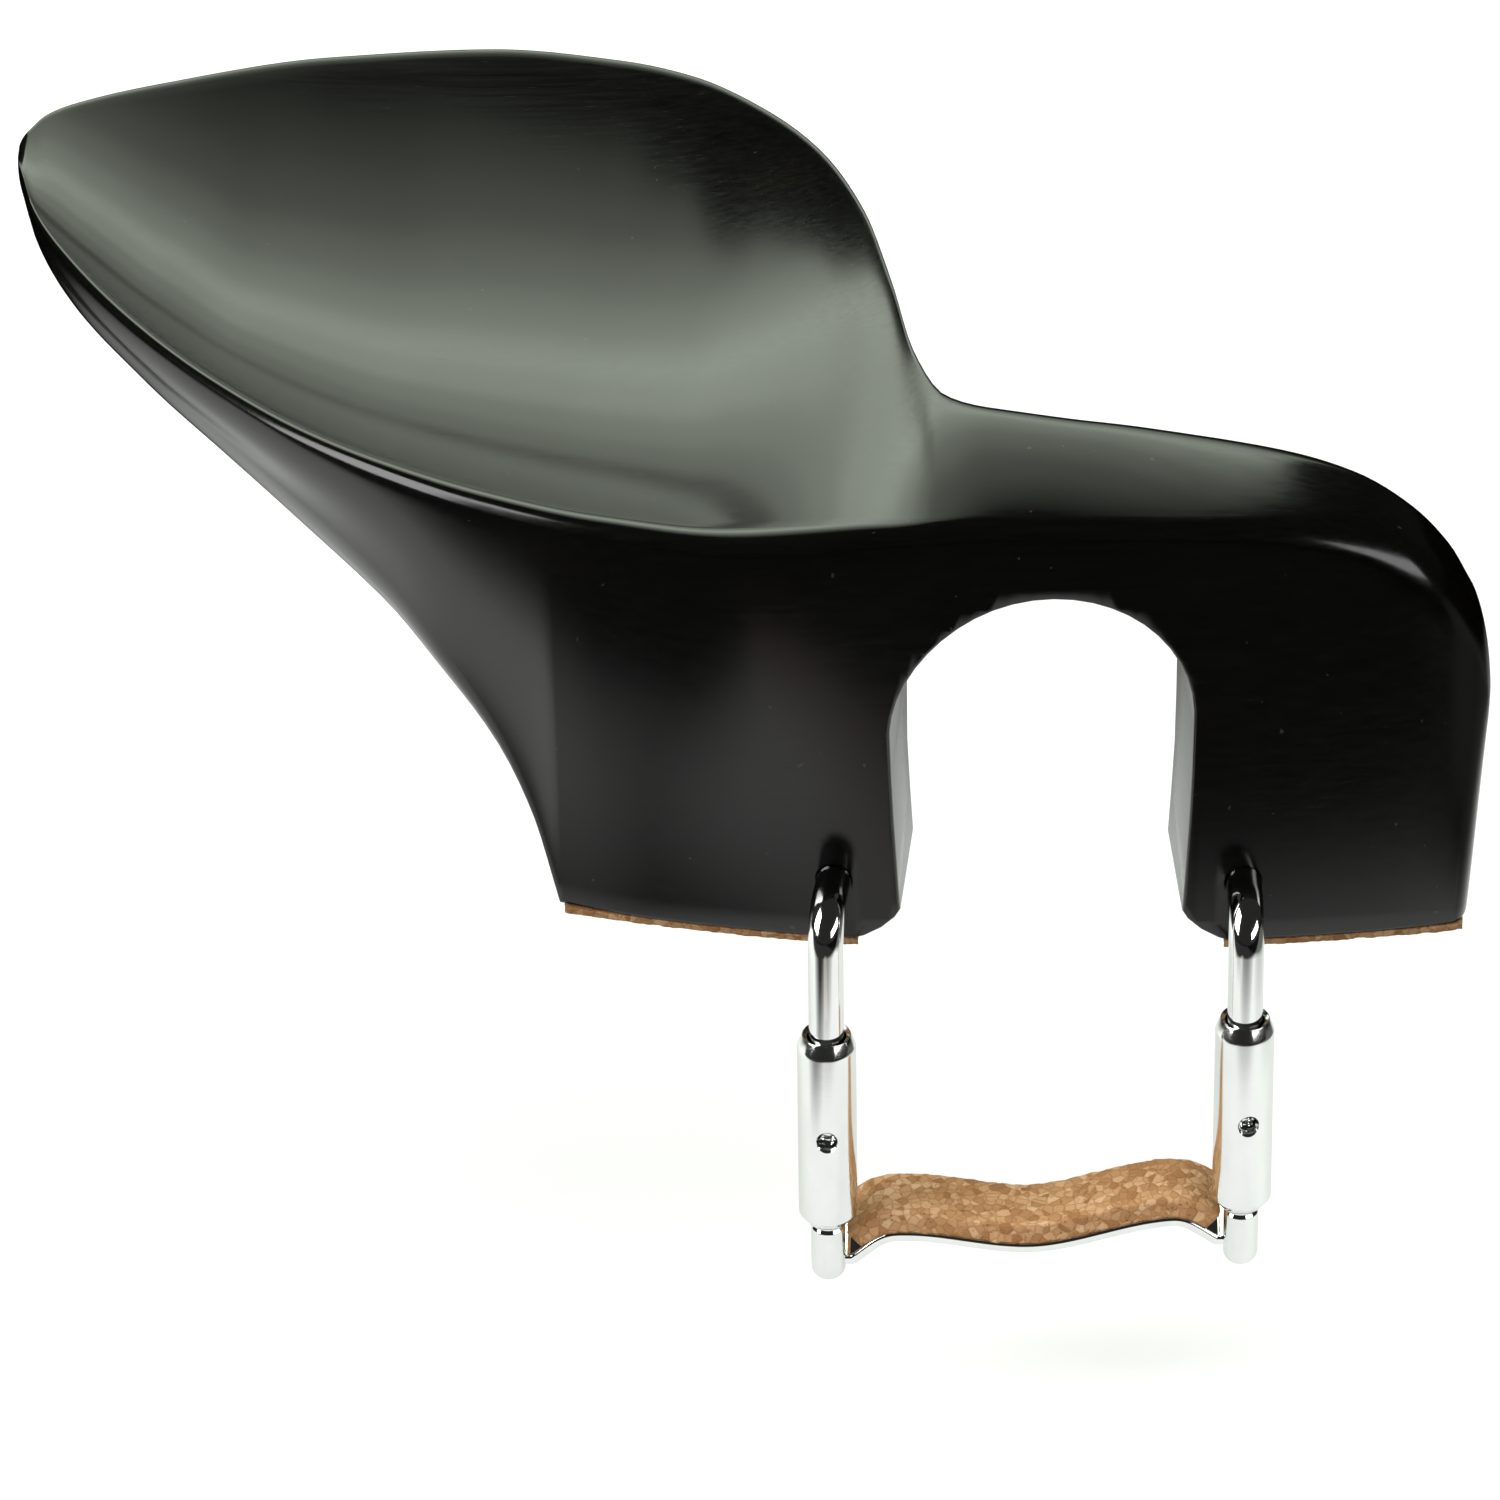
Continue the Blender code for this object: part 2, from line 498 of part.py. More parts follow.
def main():
    for item in list(bpy.data.objects):
        bpy.data.objects.remove(item)
    parts = bpy.data.collections.new("chin_rest")
    cutters = bpy.data.collections.new("cutters")
    bpy.context.scene.collection.children.link(parts)
    bpy.context.scene.collection.children.link(cutters)

    build_chin_plate(parts, cutters, material("ebony", (0.012, 0.011, 0.010), 0.32))
    inner = ARCH_HALF - ARCH_CLOSE + ARCH_CORNER[0] + 0.3
    build_foot_cork("left", -38.4, ARCH_X - inner, parts, material("left_cork", (0.55, 0.33, 0.16), 0.9))
    build_foot_cork("right", ARCH_X + inner, 34.6, parts, material("right_cork", (0.55, 0.33, 0.16), 0.9))
    for side, place in SIDES.items():
        build_hook(side, place, parts, material(side + "_hook_chrome", (0.80, 0.81, 0.82), 0.10, 1.0))
        build_barrel(side, place, parts, cutters,
                     material(side + "_barrel_chrome", (0.80, 0.81, 0.82), 0.14, 1.0))
        build_stud(side, place, parts, material(side + "_stud_chrome", (0.80, 0.81, 0.82), 0.14, 1.0))
    build_strip("bracket_plate", STRIP_END, 0.0, STRIP_THICK, 0.0, parts,
                material("bracket_chrome", (0.80, 0.81, 0.82), 0.18, 1.0))
    build_strip("bracket_cork", PAD_END, STRIP_THICK + GAP, PAD_THICK, 0.15, parts,
                material("bracket_cork", (0.55, 0.33, 0.16), 0.9))

    for cutter in cutters.objects:
        cutter.hide_render = True
        cutter.display_type = "WIRE"


main()
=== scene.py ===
import json
import math

import bmesh
import bpy
import numpy as np
from mathutils import Matrix, Vector, noise
from mathutils.bvhtree import BVHTree


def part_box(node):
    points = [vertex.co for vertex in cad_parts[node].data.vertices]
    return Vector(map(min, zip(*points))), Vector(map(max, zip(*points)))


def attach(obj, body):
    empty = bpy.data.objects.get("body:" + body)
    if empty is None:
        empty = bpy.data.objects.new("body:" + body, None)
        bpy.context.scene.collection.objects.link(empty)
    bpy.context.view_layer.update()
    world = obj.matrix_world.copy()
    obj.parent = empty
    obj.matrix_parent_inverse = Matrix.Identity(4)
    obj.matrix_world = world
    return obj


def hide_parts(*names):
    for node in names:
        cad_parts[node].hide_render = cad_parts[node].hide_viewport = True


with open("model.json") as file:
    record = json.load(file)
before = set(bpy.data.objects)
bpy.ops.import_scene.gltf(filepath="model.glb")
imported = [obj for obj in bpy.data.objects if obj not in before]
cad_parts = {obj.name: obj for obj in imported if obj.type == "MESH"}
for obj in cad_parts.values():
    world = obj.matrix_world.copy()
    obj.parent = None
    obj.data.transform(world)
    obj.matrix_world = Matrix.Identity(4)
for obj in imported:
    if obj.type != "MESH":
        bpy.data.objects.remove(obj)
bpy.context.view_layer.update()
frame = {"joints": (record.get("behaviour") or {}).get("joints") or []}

MM = 0.001

# ---- places read from the frame, in millimetres ----
SIDES = ("left", "right")
BARREL = {side: [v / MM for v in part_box(side + "_barrel")] for side in SIDES}
POST = {side: (BARREL[side][0] + BARREL[side][1]) / 2 for side in SIDES}
BARREL_TOP = {side: BARREL[side][1].z for side in SIDES}
BARREL_FOOT = {side: BARREL[side][0].z for side in SIDES}
HOOK = {side: [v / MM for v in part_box(side + "_hook")] for side in SIDES}
STUD = {side: [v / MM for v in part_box(side + "_stud")] for side in SIDES}
POST_Y = POST["left"].y
ROD_R = 1.45                        # the hooks' rods
HOLE_Z = HOOK["left"][1].z - ROD_R  # height of the hooks' holes
SLIDE = next(joint for joint in frame["joints"] if joint["name"] == "bracket_slide")
TRAVEL = SLIDE["range_m"][1] / MM

# ---- sizes of the wood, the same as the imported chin_plate has ----
WOOD_Z = 0.6                        # the wood's foot, which stands on the corks
FOOT_DEPTH = 12.6
FACE_APEX = 0.6                     # x where the front face is foremost
FACE_RADIUS = (142.0, 185.0)        # its curve in plan, left and right of there
ARCH_X = 0.45
ARCH_HALF = 12.25                   # half of its width
ARCH_TAPER = 0.085                  # how much each wall closes in for each mm towards the back
ARCH_SPRING = 21.0                  # height where its round part starts
ARCH_RISE = 12.05
ARCH_LEAN = 0.07                    # how far the round part leans right for each mm that it rises
ARCH_CLOSE = 0.75                   # how far its walls close in towards the foot
ARCH_CORNER = (4.0, 3.1)            # its chamfers at the foot: width, height
ARCH_EASE = 1.43                    # how straight those are: 2 is straight, 1 is a quarter of an ellipse
ARCH_EDGE = 0.45                    # rounding of its mouths
CUT_PAST = (3.0, 6.0)               # how far its cutter stands out below the wood, and before and behind it
HOLE_R = 1.5
HOLE_LIP = 0.08
HOLE_DEPTH = 9.0

# ---- sizes of the clamp ----
LEG_ANGLE = {"left": 6.5, "right": -1.0}     # turn of each hook's leg away from straight back, in degrees
LEG_SHORT = 0.3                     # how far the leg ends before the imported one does
BEND_R = 3.1
THREAD_PITCH = 0.5
THREAD_DEPTH = 0.26
THREAD_START = 0.8                  # how far below the barrel's mouth the thread starts
THREAD_TIP_R = 0.95                 # end of the threaded rod
BARREL_R = (BARREL["left"][1].y - BARREL["left"][0].y) / 2
BARREL_MOUTH_R = 1.97               # top of the barrel, inside its bevel
BARREL_BEVEL = 1.15                 # height of the bevel
BARREL_BASE_R = 1.72                # foot of the barrel, inside its lower bevel
BARREL_BASE = 0.95                  # height of the lower bevel
BORE_R = 1.56
KEY_R = 0.85                        # hole for the turning key
KEY_LIP = 0.14
KEY_TURN = {"left": 0.0, "right": math.radians(10.0)}    # how far each barrel stands turned at rest
NECK_R = (1.1, 1.25)                # stud's neck inside the barrel: at its tip, and below
SHOULDER = 0.75                     # gap from the barrel to the stud's full width
STUD_PROUD = 0.03                   # how much wider than the packed, many-sided stud it is
STUD_ROUND = 1.15                   # rounding of the stud's foot
AXIS_R = 0.02                       # radius where a turned shape meets its axis
STRIP_FRONT = -4.8
STRIP_DEPTH = 6.1
STRIP_THICK = 0.9
STRIP_END = 14.9                    # half of the strip's length up to its turned-down ends
STRIP_TAB = 0.9                     # what it runs on past there
STRIP_DIP = 11.5                    # x from which its ends turn down
STRIP_SLOPE = 0.07
STRIP_Z = -24.95
PAD_END = 13.6                      # half of the length of the bracket's cork
PAD_THICK = 1.9
FOOT_CORK_ENDS = (-38.6, 34.9)      # outer ends of the two foot corks
FOOT_CORK_INSET = 0.12              # how far they stand back from the wood's front face
FOOT_CORK_SHORT = 0.3               # how much less deep they are than the foot
FOOT_CORK_UNDER = 0.6               # how far they reach under the arch's chamfers
# how roughly each cork is cut: amount, how many bumps for each mm, and the seed of the noise
CORK_CUT = {"bracket": (0.09, 1.3, 4), "left": (0.10, 1.2, 9), "right": (0.10, 1.2, 5)}

# ---- rails of the carved body: each is a smooth line along X through these points ----
LIP = [  # front edge of the top: x, y, z
    (-85.2, 52.0, 43.2), (-83.8, 46.4, 43.2), (-80.5, 39.3, 43.0), (-74.0, 29.6, 42.3), (-67.0, 21.3, 41.8),
    (-60.0, 14.4, 41.5), (-53.0, 9.2, 41.3), (-44.0, 4.4, 40.9), (-35.0, 0.9, 40.7), (-23.0, -1.3, 40.2),
    (-12.0, -0.4, 39.9), (-3.0, 0.7, 39.55), (13.0, 1.3, 39.25), (20.0, 1.9, 38.85), (25.5, 2.6, 37.7),
    (30.0, 3.3, 35.1), (33.2, 4.3, 31.4), (35.2, 5.4, 27.0)]
RIM = [  # back edge of the top: x, y, z
    (-85.2, 59.4, 44.2), (-83.8, 61.3, 44.8), (-80.5, 63.2, 45.4), (-74.0, 65.7, 46.0), (-60.0, 69.6, 46.6),
    (-46.0, 70.9, 46.7), (-35.0, 69.3, 46.4), (-29.0, 66.9, 46.2), (-23.0, 62.0, 45.8), (-18.0, 55.6, 45.2),
    (-14.2, 46.8, 44.2), (-11.8, 36.2, 43.3), (-10.0, 25.6, 43.0), (-7.4, 17.6, 43.3), (-3.0, 14.7, 43.75),
    (5.0, 13.5, 43.25), (13.0, 13.2, 42.2), (20.0, 13.3, 40.7), (25.5, 13.6, 38.45), (30.0, 13.7, 35.3),
    (33.2, 13.4, 31.9), (35.2, 12.6, 28.6)]
BOWL = [  # height of the top over its chord at one third and at two thirds of the way back: x, d1, d2
    (-85.2, -0.3, -0.2), (-80.5, -2.6, -1.6), (-74.0, -5.4, -3.2), (-67.0, -7.8, -4.6), (-53.0, -9.4, -6.4),
    (-39.0, -9.0, -7.0), (-29.0, -7.4, -6.4), (-23.0, -4.8, -5.4), (-18.0, -2.4, -4.0), (-11.8, 0.2, -0.8),
    (-7.4, 0.7, 0.7), (5.0, 0.5, 0.6), (13.0, 0.5, 0.6), (25.5, 0.7, 0.7), (35.2, 0.4, 0.4)]
KEEL = [  # front edge of the underside, down to the left foot: x, y, z
    (-85.2, 53.0, 40.6), (-83.8, 48.0, 39.0), (-80.5, 41.8, 36.4), (-74.0, 34.0, 33.2), (-67.0, 26.4, 30.6),
    (-60.0, 19.0, 27.9), (-53.0, 12.6, 24.6), (-48.0, 9.0, 20.2), (-44.0, 7.4, 15.2), (-41.0, 6.5, 8.6),
    (-39.0, 6.0, WOOD_Z)]
HEEL = [  # back edge of the underside: x, y, z
    (-85.2, 56.0, 40.6), (-80.5, 47.0, 36.0), (-74.0, 40.0, 32.0), (-67.0, 33.5, 28.9), (-60.0, 27.5, 25.9),
    (-53.0, 22.5, 22.3), (-48.0, 19.5, 17.9), (-44.0, 18.4, 12.9), (-41.0, 18.0, 7.0), (-39.0, 17.8, WOOD_Z)]
# height of the upright back of the feet: x, height
HEEL_UPRIGHT = [(-85.2, 0.1), (-60.0, 1.0), (-48.0, 4.0), (-39.0, 12.0), (25.5, 12.0), (35.2, 8.0)]
UNDER_OUTER = [  # the hollow behind the feet, near the rim: x, y, z
    (-85.2, 57.5, 41.0), (-74.0, 58.5, 38.8), (-53.0, 55.5, 35.6), (-35.0, 51.5, 34.6), (-23.0, 44.5, 34.2),
    (-14.2, 36.0, 34.4), (-10.0, 22.0, 33.0), (-3.0, 16.6, 30.5), (13.0, 15.4, 29.0), (25.5, 15.2, 27.0),
    (35.2, 13.4, 19.0)]
UNDER_INNER = [  # and near the feet: x, y, z
    (-85.2, 56.5, 40.7), (-80.5, 51.0, 36.4), (-67.0, 43.0, 28.9), (-53.0, 38.0, 25.8), (-44.0, 30.0, 27.0),
    (-35.0, 23.0, 27.0), (-18.0, 18.0, 25.0), (-3.0, 14.6, 22.0), (25.5, 14.6, 18.0), (35.2, 13.6, 13.0)]
# roundings of the lip, of the rim and of the lower edges: x, radius
LIP_ROUND = [(-85.2, 1.2), (-74.0, 2.4), (-40.0, 2.6), (-25.0, 2.6), (-8.0, 1.4), (13.0, 1.3), (25.5, 2.2),
             (35.2, 3.2)]
RIM_ROUND = [(-85.2, 1.2), (-74.0, 2.0), (-53.0, 2.4), (5.0, 2.4), (30.0, 3.2), (35.2, 3.0)]
EDGE_ROUND = [(-85.2, 0.8), (-74.0, 3.0), (-60.0, 4.5), (-53.0, 4.0), (-44.0, 1.6), (-39.0, 0.4), (35.2, 0.4)]
FOOT_START = -39.0            # x where the left foot begins
FOOT_JOIN = 8.0               # width over which the cup's underside runs into the foot's curves
CUP_SIDE = -12.5              # x of the cup's steep right side
# each end runs on past its last rail point, closes in towards a centre and turns over: how far it
# runs, the centre (y, z), the share of each size left there, and how evenly it closes in at first
TIP = {"reach": -0.69, "centre": (57.4, 42.7), "keep": (0.12, 0.2), "ease": (0.55, 0.5)}
END = {"reach": 1.6, "centre": (11.0, WOOD_Z), "keep": (0.62, 0.69), "ease": (0.25, 0.43)}
# the right side leans in towards its foot: how far, from which x, over what width and below what height
SIDE_DRAFT = {"inward": 1.5, "start": 27.0, "width": 9.8, "height": 20.0}

# how finely the body is divided: sections along X, and points along each part of a section
SECTIONS = 150
STEPS = {"edge": 4, "face": 22, "lip": 9, "top": 40, "rim": 10, "under": 32, "upright": 8, "base": 8}
END_STEPS = 10                # extra rings at each end
CORNER_STEPS = 4              # points that round off a corner of a turned profile


# ---- mesh helpers ----
def mesh_object(name, points, faces, smooth=True):
    """An object in metres from points in millimetres, with faces turned outward."""
    mesh = bpy.data.meshes.new(name)
    mesh.from_pydata([tuple(float(v) * MM for v in point) for point in points], [], faces)
    work = bmesh.new()
    work.from_mesh(mesh)
    bmesh.ops.recalc_face_normals(work, faces=work.faces)
    if work.calc_volume(signed=True) < 0.0:
        bmesh.ops.reverse_faces(work, faces=work.faces)
    work.to_mesh(mesh)
    work.free()
    mesh.polygons.foreach_set("use_smooth", [smooth] * len(mesh.polygons))
    made = bpy.data.objects.new(name, mesh)
    bpy.context.scene.collection.objects.link(made)
    return made


def tube_faces(rings, size, close=True):
    """Quads around a run of rings, with a flat cap on each end."""
    faces = []
    for i in range(rings - 1):
        for j in range(size):
            k = (j + 1) % size
            faces.append((i * size + j, i * size + k, (i + 1) * size + k, (i + 1) * size + j))
    if close:
        faces.append(tuple(range(size)))
        faces.append(tuple(range((rings - 1) * size, rings * size)))
    return faces


def lathe(name, profile, centre, sides, ring=False):
    """(radius, height) points turned about a vertical axis; a ring profile closes on itself."""
    turns = [2 * math.pi * j / sides for j in range(sides)]
    points = [(centre[0] + r * math.cos(t), centre[1] + r * math.sin(t), centre[2] + z)
              for r, z in profile for t in turns]
    faces = tube_faces(len(profile), sides, close=not ring)
    if ring:
        last = (len(profile) - 1) * sides
        for j in range(sides):
            k = (j + 1) % sides
            faces.append((last + j, last + k, k, j))
    return mesh_object(name, points, faces)


def eased(corners, closed=False):
    """A profile whose corners are rounded: each corner is (r, z, radius)."""
    count = len(corners)
    points = []
    for i, (r, z, radius) in enumerate(corners):
        here = Vector((r, z))
        if radius <= 0.0 or (not closed and i in (0, count - 1)):
            points.append((r, z))
            continue
        before = (Vector(corners[i - 1][:2]) - here).normalized()
        after = (Vector(corners[(i + 1) % count][:2]) - here).normalized()
        start, end = here + before * radius, here + after * radius
        for t in np.linspace(0, 1, CORNER_STEPS + 1):
            point = start * (1 - t) ** 2 + here * 2 * t * (1 - t) + end * t * t
            points.append((point.x, point.y))
    return points


def cut(target, cutter):
    """Takes the cutter out of the target for good."""
    modifier = target.modifiers.new("cut", "BOOLEAN")
    modifier.operation = "DIFFERENCE"
    modifier.solver = "EXACT"
    modifier.object = cutter
    graph = bpy.context.evaluated_depsgraph_get()
    mesh = bpy.data.meshes.new_from_object(target.evaluated_get(graph))
    target.modifiers.clear()
    target.data = mesh
    mesh.polygons.foreach_set("use_smooth", [True] * len(mesh.polygons))
    bpy.data.objects.remove(cutter)


def sharpen(item, degrees):
    """Marks edges sharper than this, so that smooth shading stops at them."""
    work = bmesh.new()
    work.from_mesh(item.data)
    limit = math.radians(degrees)
    for edge in work.edges:
        if len(edge.link_faces) == 2 and edge.calc_face_angle(0.0) > limit:
            edge.smooth = False
    work.to_mesh(item.data)
    work.free()


# ---- smooth lines ----
def smooth_line(rail, at):
    """Monotone cubic through a rail's points, read at the given x; one column for each value."""
    table = np.array(rail, float)
    knots = table[:, 0]
    step = np.diff(knots)
    columns = []
    for value in table[:, 1:].T:
        rise = np.diff(value) / step
        slope = np.concatenate([rise[:1], np.zeros(len(rise) - 1), rise[-1:]])
        for i in range(1, len(rise)):
            if rise[i - 1] * rise[i] > 0.0:
                before = 2 * step[i] + step[i - 1]
                after = step[i] + 2 * step[i - 1]
                slope[i] = (before + after) / (before / rise[i - 1] + after / rise[i])
        k = np.clip(np.searchsorted(knots, at) - 1, 0, len(step) - 1)
        t = np.clip((at - knots[k]) / step[k], 0.0, 1.0)
        columns.append((1 + 2 * t) * (1 - t) ** 2 * value[k] + t * (1 - t) ** 2 * step[k] * slope[k]
                       + t * t * (3 - 2 * t) * value[k + 1] + t * t * (t - 1) * step[k] * slope[k + 1])
    return np.column_stack(columns)


# ---- the carved body ----
def face_line(x):
    """Plan curve of the front face at the feet."""
    radius = np.where(x < FACE_APEX, FACE_RADIUS[0], FACE_RADIUS[1])
    return (x - FACE_APEX) ** 2 / (2 * radius)


def section_places(count):
    """X of the sections, closer together at the tip, the left foot, the cup's right side and the end."""
    first, last = LIP[0][0], LIP[-1][0]
    fine = np.linspace(first, last, 2001)
    density = (1 + 3 * np.exp((first - fine) / 3) + 2 * np.exp(-((fine - CUP_SIDE) / 4) ** 2)
               + 1.6 * np.exp(-((fine - FOOT_START) / 3) ** 2) + 2 * np.exp((fine - last) / 4))
    share = np.cumsum(density)
    share = (share - share[0]) / (share[-1] - share[0])
    places = np.interp(np.linspace(0, 1, count), share, fine)
    places[np.argmin(abs(places - FOOT_START))] = FOOT_START
    return places


def unit(vector):
    return vector / np.linalg.norm(vector)


def bezier(a, b, c, d, steps):
    """Points of a cubic, without its last one."""
    t = np.linspace(0, 1, steps + 1)[:-1, None]
    return (1 - t) ** 3 * a + 3 * t * (1 - t) ** 2 * b + 3 * t * t * (1 - t) * c + t ** 3 * d


def straight(a, b, steps):
    """Points of a line, without its last one."""
    return bezier(a, a + (b - a) / 3, a + (b - a) * 2 / 3, b, steps)


def rounded(corner, arrive, leave, radius, steps):
    """A corner rounded off: where it starts, where it ends, and the points between."""
    start = corner - arrive * radius
    end = corner + leave * radius
    pull = 0.55 * radius
    return start, end, bezier(start, start + arrive * pull, end - leave * pull, end, steps)


def section(rails, steps):
    """One closed (y, z) outline: front edge, face, lip, top, rim, underside, foot's back, base."""
    keel, heel, lip, rim = rails["keel"], rails["heel"], rails["lip"], rails["rim"]
    edge = rails["edge"]
    chord = rim - lip
    widest = np.linalg.norm(chord) / 3
    lip_round, rim_round = min(rails["lip_round"], widest), min(rails["rim_round"], widest)
    top_front = lip + chord / 3 + np.array([0.0, rails["bowl"][0] * 4 / 3])
    top_back = lip + chord * 2 / 3 + np.array([0.0, rails["bowl"][1] * 4 / 3])
    upright = heel + np.array([0.0, max(rails["upright"], edge * 1.2)])
    # the face starts upright over a sharp lower edge, and leans towards the lip over a round one
    lean = min(1.0, (edge - 0.4) / 3.0)
    rise = unit(lean * unit(lip - keel) + (1 - lean) * np.array([0.0, 1.0]))
    arrive_lip = unit(np.array([0.15 * unit(lip - keel)[0], 1.0]))
    base = unit(keel - heel)
    leave_rim = unit(unit(rails["outer"] - rim) + np.array([0.0, -0.6]))
    keel_in, keel_out, keel_arc = rounded(keel, base, rise, edge, steps["edge"])
    lip_in, lip_out, lip_arc = rounded(lip, arrive_lip, unit(top_front - lip), lip_round, steps["lip"])
    rim_in, rim_out, rim_arc = rounded(rim, unit(rim - top_back), leave_rim, rim_round, steps["rim"])
    heel_in, heel_out, heel_arc = rounded(heel, unit(heel - upright), base, edge, steps["edge"])
    height = np.linalg.norm(lip_in - keel_out)
    face = bezier(keel_out, keel_out + rise * height * 0.35, lip_in - arrive_lip * height * 0.4, lip_in,
                  steps["face"])
    top = bezier(lip_out, top_front, top_back, rim_in, steps["top"])
    under = bezier(rim_out, rails["outer"], rails["inner"], upright, steps["under"])
    back = straight(upright, heel_in, steps["upright"])
    bottom = straight(heel_out, keel_in, steps["base"])
    return np.vstack([keel_arc, face, lip_arc, top, rim_arc, under, back, heel_arc, bottom])


def foot_rail(rail, at, depth):
    """A lower edge of the body: its rail, then at the feet the front face's curve, this depth behind it."""
    line = smooth_line(rail, at)
    foot = at > FOOT_START
    fade = smooth_line([(FOOT_START, 1.0), (FOOT_START + FOOT_JOIN, 0.0), (LIP[-1][0], 0.0)], at)[:, 0]
    line[foot] = np.column_stack([face_line(at[foot]) + depth, np.full(foot.sum(), WOOD_Z)])
    line[foot, 0] += fade[foot] * (rail[-1][1] - face_line(FOOT_START) - depth)
    return line


def lean_in(rings):
    """Moves the right side inwards towards its foot."""
    reach = np.clip((rings[..., 0] - SIDE_DRAFT["start"]) / SIDE_DRAFT["width"], 0, 1) ** 2
    low = np.clip(1 - (rings[..., 2] - WOOD_Z) / SIDE_DRAFT["height"], 0, 1)
    rings[..., 0] -= SIDE_DRAFT["inward"] * reach * low


def body_rings():
    """All rings of the body, tip to right end, each a closed loop of (x, y, z)."""
    at = section_places(SECTIONS)
    lines = {"keel": foot_rail(KEEL, at, 0.0), "heel": foot_rail(HEEL, at, FOOT_DEPTH)}
    pairs = {"lip": LIP, "rim": RIM, "bowl": BOWL, "outer": UNDER_OUTER, "inner": UNDER_INNER}
    for name, rail in pairs.items():
        lines[name] = smooth_line(rail, at)
    single = {"upright": HEEL_UPRIGHT, "lip_round": LIP_ROUND, "rim_round": RIM_ROUND, "edge": EDGE_ROUND}
    for name, rail in single.items():
        lines[name] = smooth_line(rail, at)[:, 0]
    rings = []
    for i, x in enumerate(at):
        outline = section({name: line[i] for name, line in lines.items()}, STEPS)
        rings.append(np.column_stack([np.full(len(outline), x), outline]))
    left = rounded_end(rings[0], TIP, END_STEPS)[::-1]
    right = rounded_end(rings[-1], END, END_STEPS)
    rings = np.array(left + rings + right)
    lean_in(rings)
    return rings


def rounded_end(ring, end, steps):
    """Shrinking copies of an end ring, which carry on its taper and turn over."""
    copies = []
    for turn in np.linspace(0, math.pi / 2, steps + 1)[1:]:
        copy = ring.copy()
        copy[:, 0] += end["reach"] * math.sin(turn)
        for axis in (0, 1):
            centre = end["centre"][axis]
            closed = end["ease"][axis] * math.sin(turn) + (1 - end["ease"][axis]) * (1 - math.cos(turn))
            scale = 1 - closed * (1 - end["keep"][axis])
            copy[:, axis + 1] = centre + (ring[:, axis + 1] - centre) * scale
        copies.append(copy)
    return copies


def loft_faces(ring_count, size, across):
    """Quads between neighbouring rings, and each end closed by strips between its two sides."""
    faces = []
    for i in range(ring_count - 1):
        for j in range(size):
            k = (j + 1) % size
            faces.append((i * size + j, (i + 1) * size + j, (i + 1) * size + k, i * size + k))
    for first in (0, (ring_count - 1) * size):
        near, far = across, across - 1
        while near - far < size - 1:
            step_far = (far - 1) % size
            step_near = (near + 1) % size
            loop = [first + far % size, first + near % size]
            if step_near != far % size:
                loop.append(first + step_near)
            if step_far != step_near:
                loop.append(first + step_far)
            faces.append(tuple(dict.fromkeys(loop)))
            near += 1
            far -= 1
    return faces


def arch_outline():
    """Round arch over walls that close in downwards, with chamfered corners at the feet: (x, z)."""
    width, height = ARCH_CORNER
    start = WOOD_Z - 0.03           # just below the wood, so that no face of the cutter lies in its foot
    side = [(width, WOOD_Z - CUT_PAST[0])]
    for turn in np.linspace(0, math.pi / 2, 5):
        out = width * (1 - math.sin(turn) ** ARCH_EASE)
        side.append((out, start + height * (1 - math.cos(turn) ** ARCH_EASE)))
    foot = side[-1][1]
    side += [(0.0, foot + (ARCH_SPRING - foot) * k / 4) for k in (1, 2, 3)]
    wall = []
    for out, z in side:
        drop = min(1.0, max(0.0, (ARCH_SPRING - z) / (ARCH_SPRING - foot)))
        wall.append((ARCH_HALF + out - ARCH_CLOSE * drop ** 1.5, z))
    crown = []
    for turn in np.linspace(math.pi, 0, 25):
        rise = ARCH_RISE * math.sin(turn)
        crown.append((ARCH_HALF * math.cos(turn) + ARCH_LEAN * rise, ARCH_SPRING + rise))
    return [(-x, z) for x, z in wall] + crown + wall[::-1]


def arch_cutter(body):
    """The arch as a tunnel whose mouths are rounded where they meet the wood, front and back."""
    tree = BVHTree.FromObject(body, bpy.context.evaluated_depsgraph_get())
    outline = np.array(arch_outline())
    ahead = np.roll(outline, -1, axis=0) - outline
    behind = outline - np.roll(outline, 1, axis=0)
    tangent = ahead / np.linalg.norm(ahead, axis=1)[:, None]
    tangent += behind / np.linalg.norm(behind, axis=1)[:, None]
    tangent /= np.linalg.norm(tangent, axis=1)[:, None]
    outward = np.column_stack([-tangent[:, 1], tangent[:, 0]])
    lowest = WOOD_Z + 0.7           # the wood's surface is looked for above its eased lower edge
    sides = {"front": (-30.0, 1.0), "back": (60.0, -1.0)}    # where each search starts, and its direction

    def ring(inward, widening, side):
        start_y, towards = sides[side]
        row = []
        for (x, z), out in zip(outline, outward):
            start = Vector((ARCH_X + x, start_y, max(z, lowest))) * MM
            y = tree.ray_cast(start, Vector((0, towards, 0)))[0].y / MM + inward * towards
            squeeze = 1 - ARCH_TAPER * max(y, 0.0) / ARCH_HALF
            row.append((ARCH_X + x * squeeze + out[0] * widening, y, z + out[1] * widening))
        return row

    sink = 0.05                     # each rounding starts this far before the surface
    arcs = np.linspace(0, math.pi / 2, 6)
    mouth = [(-CUT_PAST[1], ARCH_EDGE)]
    mouth += [(-sink + ARCH_EDGE * (1 - math.cos(a)), ARCH_EDGE * (1 - math.sin(a))) for a in arcs]
    rings = [ring(inward, widening, "front") for inward, widening in mouth]
    rings += [ring(inward, widening, "back") for inward, widening in reversed(mouth)]
    points = [point for row in rings for point in row]
    return mesh_object("arch_cutter", points, tube_faces(len(rings), len(outline)))


